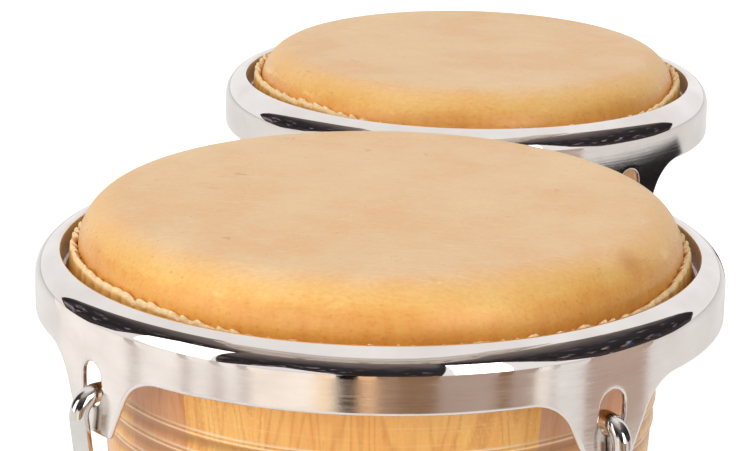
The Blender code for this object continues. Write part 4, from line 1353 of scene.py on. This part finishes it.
def make_fasteners(drum):
    """Inside each shell a curved plate spreads the pull of two hexagon bolts into the block."""
    middle = BLOCK_BASE + BLOCK_HEIGHT / 2
    heights = {"lower": middle - BOLT_PITCH / 2, "upper": middle + BOLT_PITCH / 2}
    make_plate(drum, heights["lower"] - PLATE_MARGIN, heights["upper"] + PLATE_MARGIN)
    for level, height in heights.items():
        low, high = (corner.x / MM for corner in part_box(f"{drum.name}_block_bolt_{level}"))
        end = BOLT_HEAD_HEIGHT - (high - low)
        shank = [(NEAR_AXIS, SHANK_OVERLAP), (BOLT_RADIUS, SHANK_OVERLAP)]
        shank += [(BOLT_RADIUS, end), (NEAR_AXIS, end)]
        shank = turned("shank", rounded(shank, TURNED_EASE), steps=48)
        head = hexagon("head", 0, BOLT_HEAD_HEIGHT, both=False)
        shape = joined(head, (shank, Matrix.Identity(4)))
        bolt = add_object(f"{drum.name}_hexagon_bolt_{level}", shape)
        seat = (high if drum.side > 0 else low) - drum.side * BOLT_HEAD_HEIGHT
        turn = Matrix.Rotation(drum.side * math.pi / 2, 4, "Y")
        matrix = Matrix.Translation((seat, 0, height)) @ turn
        place_piece(bolt, matrix, "drums", [f"{drum.name}_block_bolt_{level}"], ZINC)


def dress_hidden_nodes():
    """The hoops and the inserts keep their CAD shapes, out of sight, with real finishes."""
    for name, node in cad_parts.items():
        if "flesh_hoop" in name or "block_insert" in name:
            node.data.materials.clear()
            node.data.materials.append(ZINC if "hoop" in name else BRASS)


# Studio

# The camera, as solved from the photograph
SENSOR, LENS = 36, 133.9  # mm
CAMERA_PLACE = (1112.4, 146.1, 449.4)  # mm
CAMERA_AIM = (188.525, 16.21, 1.01)  # heading from +X, pitch below level and roll, in degrees
SURROUND = 0.55  # strength of the white surround as a lamp
FLOOR_SEEN, FLOOR_MIRRORED = 0.6, 0.12  # the floor's own light, to the eye and in mirrors
FLOOR_SIZE = 6.0  # metres from the middle to an edge
LAMPS = (  # name, place and aim in metres, size in metres, watts
    ("key", (0.9, -1.2, 2.2), (0.1, 0, 0.1), 1.6, 18),
    ("low_front", (1.6, -0.6, 0.35), (0.1, 0, 0.1), 1.4, 14),
    ("fill", (1.4, 1.6, 1.6), (0.1, 0, 0.1), 1.8, 8),
    ("back", (-2.2, 0.2, 2.0), (0, 0, 0.1), 1.6, 10),
)
# How far the cards stand from a drum's axis, in mm
ROOM_AWAY, SOFT_BOX_AWAY, CEILING_AWAY = 1400, 1390, 900
TABLE_AWAY, THINGS_AWAY, DARK_AWAY = 400, 380, 158
TABLE_EDGES = (1, 132)  # lower and upper edge of what is on the table, in mm
# Outlines of the cards: heading in degrees from +X, lower edge and upper edge in mm
ROOM = (
    (-113, 330, 700), (-107, 90, 1900), (-96, 40, 2900), (-80, 300, 2900), (-68, 950, 2500),
    (-60, 1150, 2100), (-44, 1250, 1800), (-41, 60, 1800), (-20, 400, 1800), (-6, 200, 1800),
    (0, 30, 1800), (27, 60, 1800), (31, 1150, 1850), (50, 1000, 2200), (64, 350, 2900),
    (80, 60, 3000), (112, 40, 2600), (122, 90, 1700), (127, 400, 800),
)
CEILING = (
    (-84, 1650, 1700), (-66, 1500, 2200), (-46, 1150, 2500), (30, 1000, 2500), (50, 1350, 2700),
    (64, 1850, 2900), (104, 1850, 2900), (122, 1700, 1800),
)
SOFT_BOXES = (  # how bright, and the outline
    ("left_soft_box", 2.6, ((-72, 250, 800), (-64, 150, 1100), (-43, 100, 1250))),
    ("right_soft_box", 5, ((31, 150, 1150), (49, 120, 1000))),
)
DARK_THING = ((42, 88, 126), (88, 88, 126), (92, 95, 118))
WHITE, CREAM, SAND, TAN, BROWN = "FFF6EA", "FFE3BE", "F3C79A", "AB8B72", "977659"
PALE, GREY, BLACK = "D9CEC7", "BCA699", "171314"
TABLE_THINGS = (  # headings from and to, in degrees, the tone and how bright it is
    (-66, -62, PALE, 1), (-47, -44, PALE, 1), (-37, -34, PALE, 1), (-29, -26, PALE, 1),
    (-26, -8, WHITE, 1.2), (-8, -3, CREAM, 1.2), (-2.4, 3.2, BLACK, 0.6), (3.2, 8, SAND, 1.1),
    (8, 13.5, TAN, 1), (13.5, 24, BROWN, 1), (24, 40, GREY, 1), (40, 44, BROWN, 1),
    (44, 51, GREY, 1), (52, 54.5, WHITE, 1.15), (55.5, 57.5, PALE, 1), (67, 91, GREY, 1.1),
)


def look(location, heading, pitch, roll):
    """A matrix that looks along a heading from +X and a pitch below level, in degrees."""
    heading, pitch, roll = (math.radians(v) for v in (heading, pitch, roll))
    forward = Vector(polar(math.cos(pitch), heading, -math.sin(pitch)))
    right = Vector((math.sin(heading), -math.cos(heading), 0))
    up = right.cross(forward)
    tilted_right = right * math.cos(roll) + up * math.sin(roll)
    tilted_up = up * math.cos(roll) - right * math.sin(roll)
    matrix = Matrix((tilted_right, tilted_up, -forward)).transposed().to_4x4()
    matrix.translation = Vector(location) * MM
    return matrix


def make_camera():
    data = bpy.data.cameras.new("camera")
    data.sensor_width, data.lens = SENSOR, LENS
    camera = add_object("camera", data)
    camera.matrix_world = look(CAMERA_PLACE, *CAMERA_AIM)
    bpy.context.scene.camera = camera


def make_floor():
    """A matt white floor. A little light of its own lets it run into the white background."""
    material, node, shader, place = new_material("matt_white_floor")
    tone = node("ValToRGB", (pattern(place, (30, 30, 30)),), [(0.3, "EDECEA"), (0.7, "F2F1EF")])
    rays = node("LightPath").outputs
    mirrored = node("Math", (rays["Is Glossy Ray"], FLOOR_MIRRORED), operation="MULTIPLY")
    seen = (rays["Is Camera Ray"], FLOOR_SEEN, mirrored)
    level = node("Math", seen, operation="MULTIPLY_ADD")
    connect(shader, {"Base Color": tone, "Roughness": 0.9, "Specular IOR Level": 0.1})
    connect(shader, {"Emission Color": (1, 1, 1, 1), "Emission Strength": level})
    corners = [(x * FLOOR_SIZE, y * FLOOR_SIZE, 0) for x, y in ((-1, -1), (1, -1), (1, 1), (-1, 1))]
    mesh = plain_mesh("floor", corners, faces=[(0, 1, 2, 3)])
    mesh.materials.append(material)
    add_object("floor", mesh)


def make_surround():
    """An even white surround, dimmer as a lamp than as a background."""
    world = bpy.data.worlds.new("studio")
    world.use_nodes = True
    node = partial(add, world.node_tree)
    rays = node("LightPath").outputs
    seen = node("Math", (rays["Is Camera Ray"], rays["Is Glossy Ray"]), operation="MAXIMUM")
    seen = node("Math", (seen, rays["Is Transmission Ray"]), operation="MAXIMUM")
    level = node("MapRange", (seen, 0, 1, SURROUND, 1.0))
    background = world.node_tree.nodes["Background"]
    connect(background, {"Color": (1, 1, 1, 1), "Strength": level})
    bpy.context.scene.world = world


def make_lamps():
    """Large soft lamps. The metal mirrors the white surround and the cards, and not the lamps."""
    for name, location, target, size, power in LAMPS:
        data = bpy.data.lights.new(name, "AREA")
        data.size = size
        data.energy = power
        lamp = add_object(name, data)
        aim = (Vector(target) - Vector(location)).to_track_quat("-Z", "Y")
        lamp.matrix_world = Matrix.Translation(location) @ aim.to_matrix().to_4x4()
        lamp.visible_glossy = False


def cluttered(node, distance, stops):
    """A card's colour: stops shade it upwards, with cluttered things low down. Their sizes grow
    with the card's distance, so that they look alike from the drum."""
    place = node("TexCoord").outputs["Object"]
    rise = node("Attribute", attribute_name="rise").outputs["Fac"]
    size = distance / 9
    thing = pattern(place, (size, size, 1.4 * size), {"Detail": 2, "Roughness": 0.5})
    drift = node("Math", (thing, 0.5), operation="SUBTRACT")
    uneven = node("Math", (drift, 0.3, rise), operation="MULTIPLY_ADD")
    shade = node("ValToRGB", (uneven,), stops)
    low_down = node("MapRange", (rise, 0.4, 0.18))
    clutter = node("MapRange", (thing, 0.56, 0.66))
    share = node("Math", (low_down, clutter), operation="MULTIPLY")
    kind = pattern(place, (size, size, size), {"Detail": 1}, location=(7, 3, 1))
    kinds = [(0.38, "3A465E"), (0.46, "7C6258"), (0.54, "A9A3A6"), (0.64, "5C5260")]
    return node("Mix", (share, shade, node("ValToRGB", (kind,), kinds)), **COLOURS)


def make_card(name, about, distance, outline, tone, strength=1.0, stops=()):
    """An upright card round a drum, which only mirrors see. The outline gives its lower and
    upper edge at some headings."""
    material = bpy.data.materials.new(f"{name}_card")
    material.use_nodes = True
    material.node_tree.nodes.clear()
    node = partial(add, material.node_tree)
    shown = cluttered(node, distance, stops) if stops else colour(tone)
    glow = node("Emission", {"Color": shown, "Strength": strength})
    node("OutputMaterial", {"Surface": glow})
    points, rises, faces = [], [], []
    for (start, low_a, high_a), (end, low_b, high_b) in zip(outline, outline[1:]):
        steps = max(round(abs(end - start) / 2), 1)
        columns = []
        for i in range(steps + 1):
            share = i / steps
            angle = math.radians(start + (end - start) * share)
            low, high = low_a + (low_b - low_a) * share, high_a + (high_b - high_a) * share
            columns.append([len(points), len(points) + 1, len(points) + 2])
            for rise in (0, 0.5, 1):
                x, y, z = polar(distance, angle, low + (high - low) * rise)
                points.append(((x + about.axis) * MM, y * MM, z * MM))
                rises.append(rise)
        faces += [quad[:1] + quad[:0:-1] for quad in strips(columns)]
    mesh = plain_mesh(name, points, faces=faces, rise=rises)
    mesh.materials.append(material)
    card = add_object(name, mesh)
    card.visible_camera = card.visible_diffuse = card.visible_shadow = False


def make_low_card(name, distance, start, end, tone, strength):
    """A card of something on the table, from one heading to another."""
    outline = ((start, *TABLE_EDGES), (end, *TABLE_EDGES))
    make_card(name, HEMBRA, distance, outline, tone, strength)


def make_cards():
    """A dim, cluttered room gives the rim's shoulder its dark bands, the ceiling its soft grey
    line above them, and soft boxes the white gaps and the shine on wood and skin. Low things on
    the table before the drum give the skirt its cream, brown and grey panels."""
    floor_up = [(0.0, "4A4143"), (0.12, "2C282A"), (0.36, "39363A")]
    wall_up = [(0.55, "625A5A"), (0.86, "857A75"), (1.0, "C8BDB3")]
    make_card("room", HEMBRA, ROOM_AWAY, ROOM, "17181D", stops=floor_up + wall_up)
    panels = [(0.35, "C6BBB0"), (0.5, "E6DED7"), (0.62, "C8BEB5")]
    ceiling = [(0.0, "C8BDB3"), *panels, (1.0, "E9E3DE")]
    make_card("ceiling", HEMBRA, CEILING_AWAY, CEILING, "C8BDB3", stops=ceiling)
    for name, strength, outline in SOFT_BOXES:
        make_card(name, HEMBRA, SOFT_BOX_AWAY, outline, "FFFBF5", strength)
    make_low_card("pale_table", TABLE_AWAY, -104, -22, "FFFBF7", 1.12)
    for number, thing in enumerate(TABLE_THINGS, start=1):
        make_low_card(f"table_thing_{number}", THINGS_AWAY, *thing)
    dark = [(0.0, "3A2F2C"), (0.5, "262223"), (1.0, "1C1B1E")]
    make_card("dark_thing", MACHO, DARK_AWAY, DARK_THING, "2A2526", stops=dark)


make_camera()
make_floor()
make_surround()
make_lamps()
make_cards()
ring_of_staves, crimped_edge, round_bar = stave_tree(), crimp_tree(), bar_tree()
ear = ear_plate()
for drum in (HEMBRA, MACHO):
    make_shell(drum, ring_of_staves)
    make_head(drum)
    make_crimped_edge(drum, crimped_edge)
    make_rim(drum)
    make_rods(drum, round_bar)
    make_nuts(drum)
    make_ring(drum, ear)
    make_fasteners(drum)
bpy.data.objects.remove(ear)
make_block()
dress_hidden_nodes()

bpy.context.scene.view_settings.view_transform = "Standard"
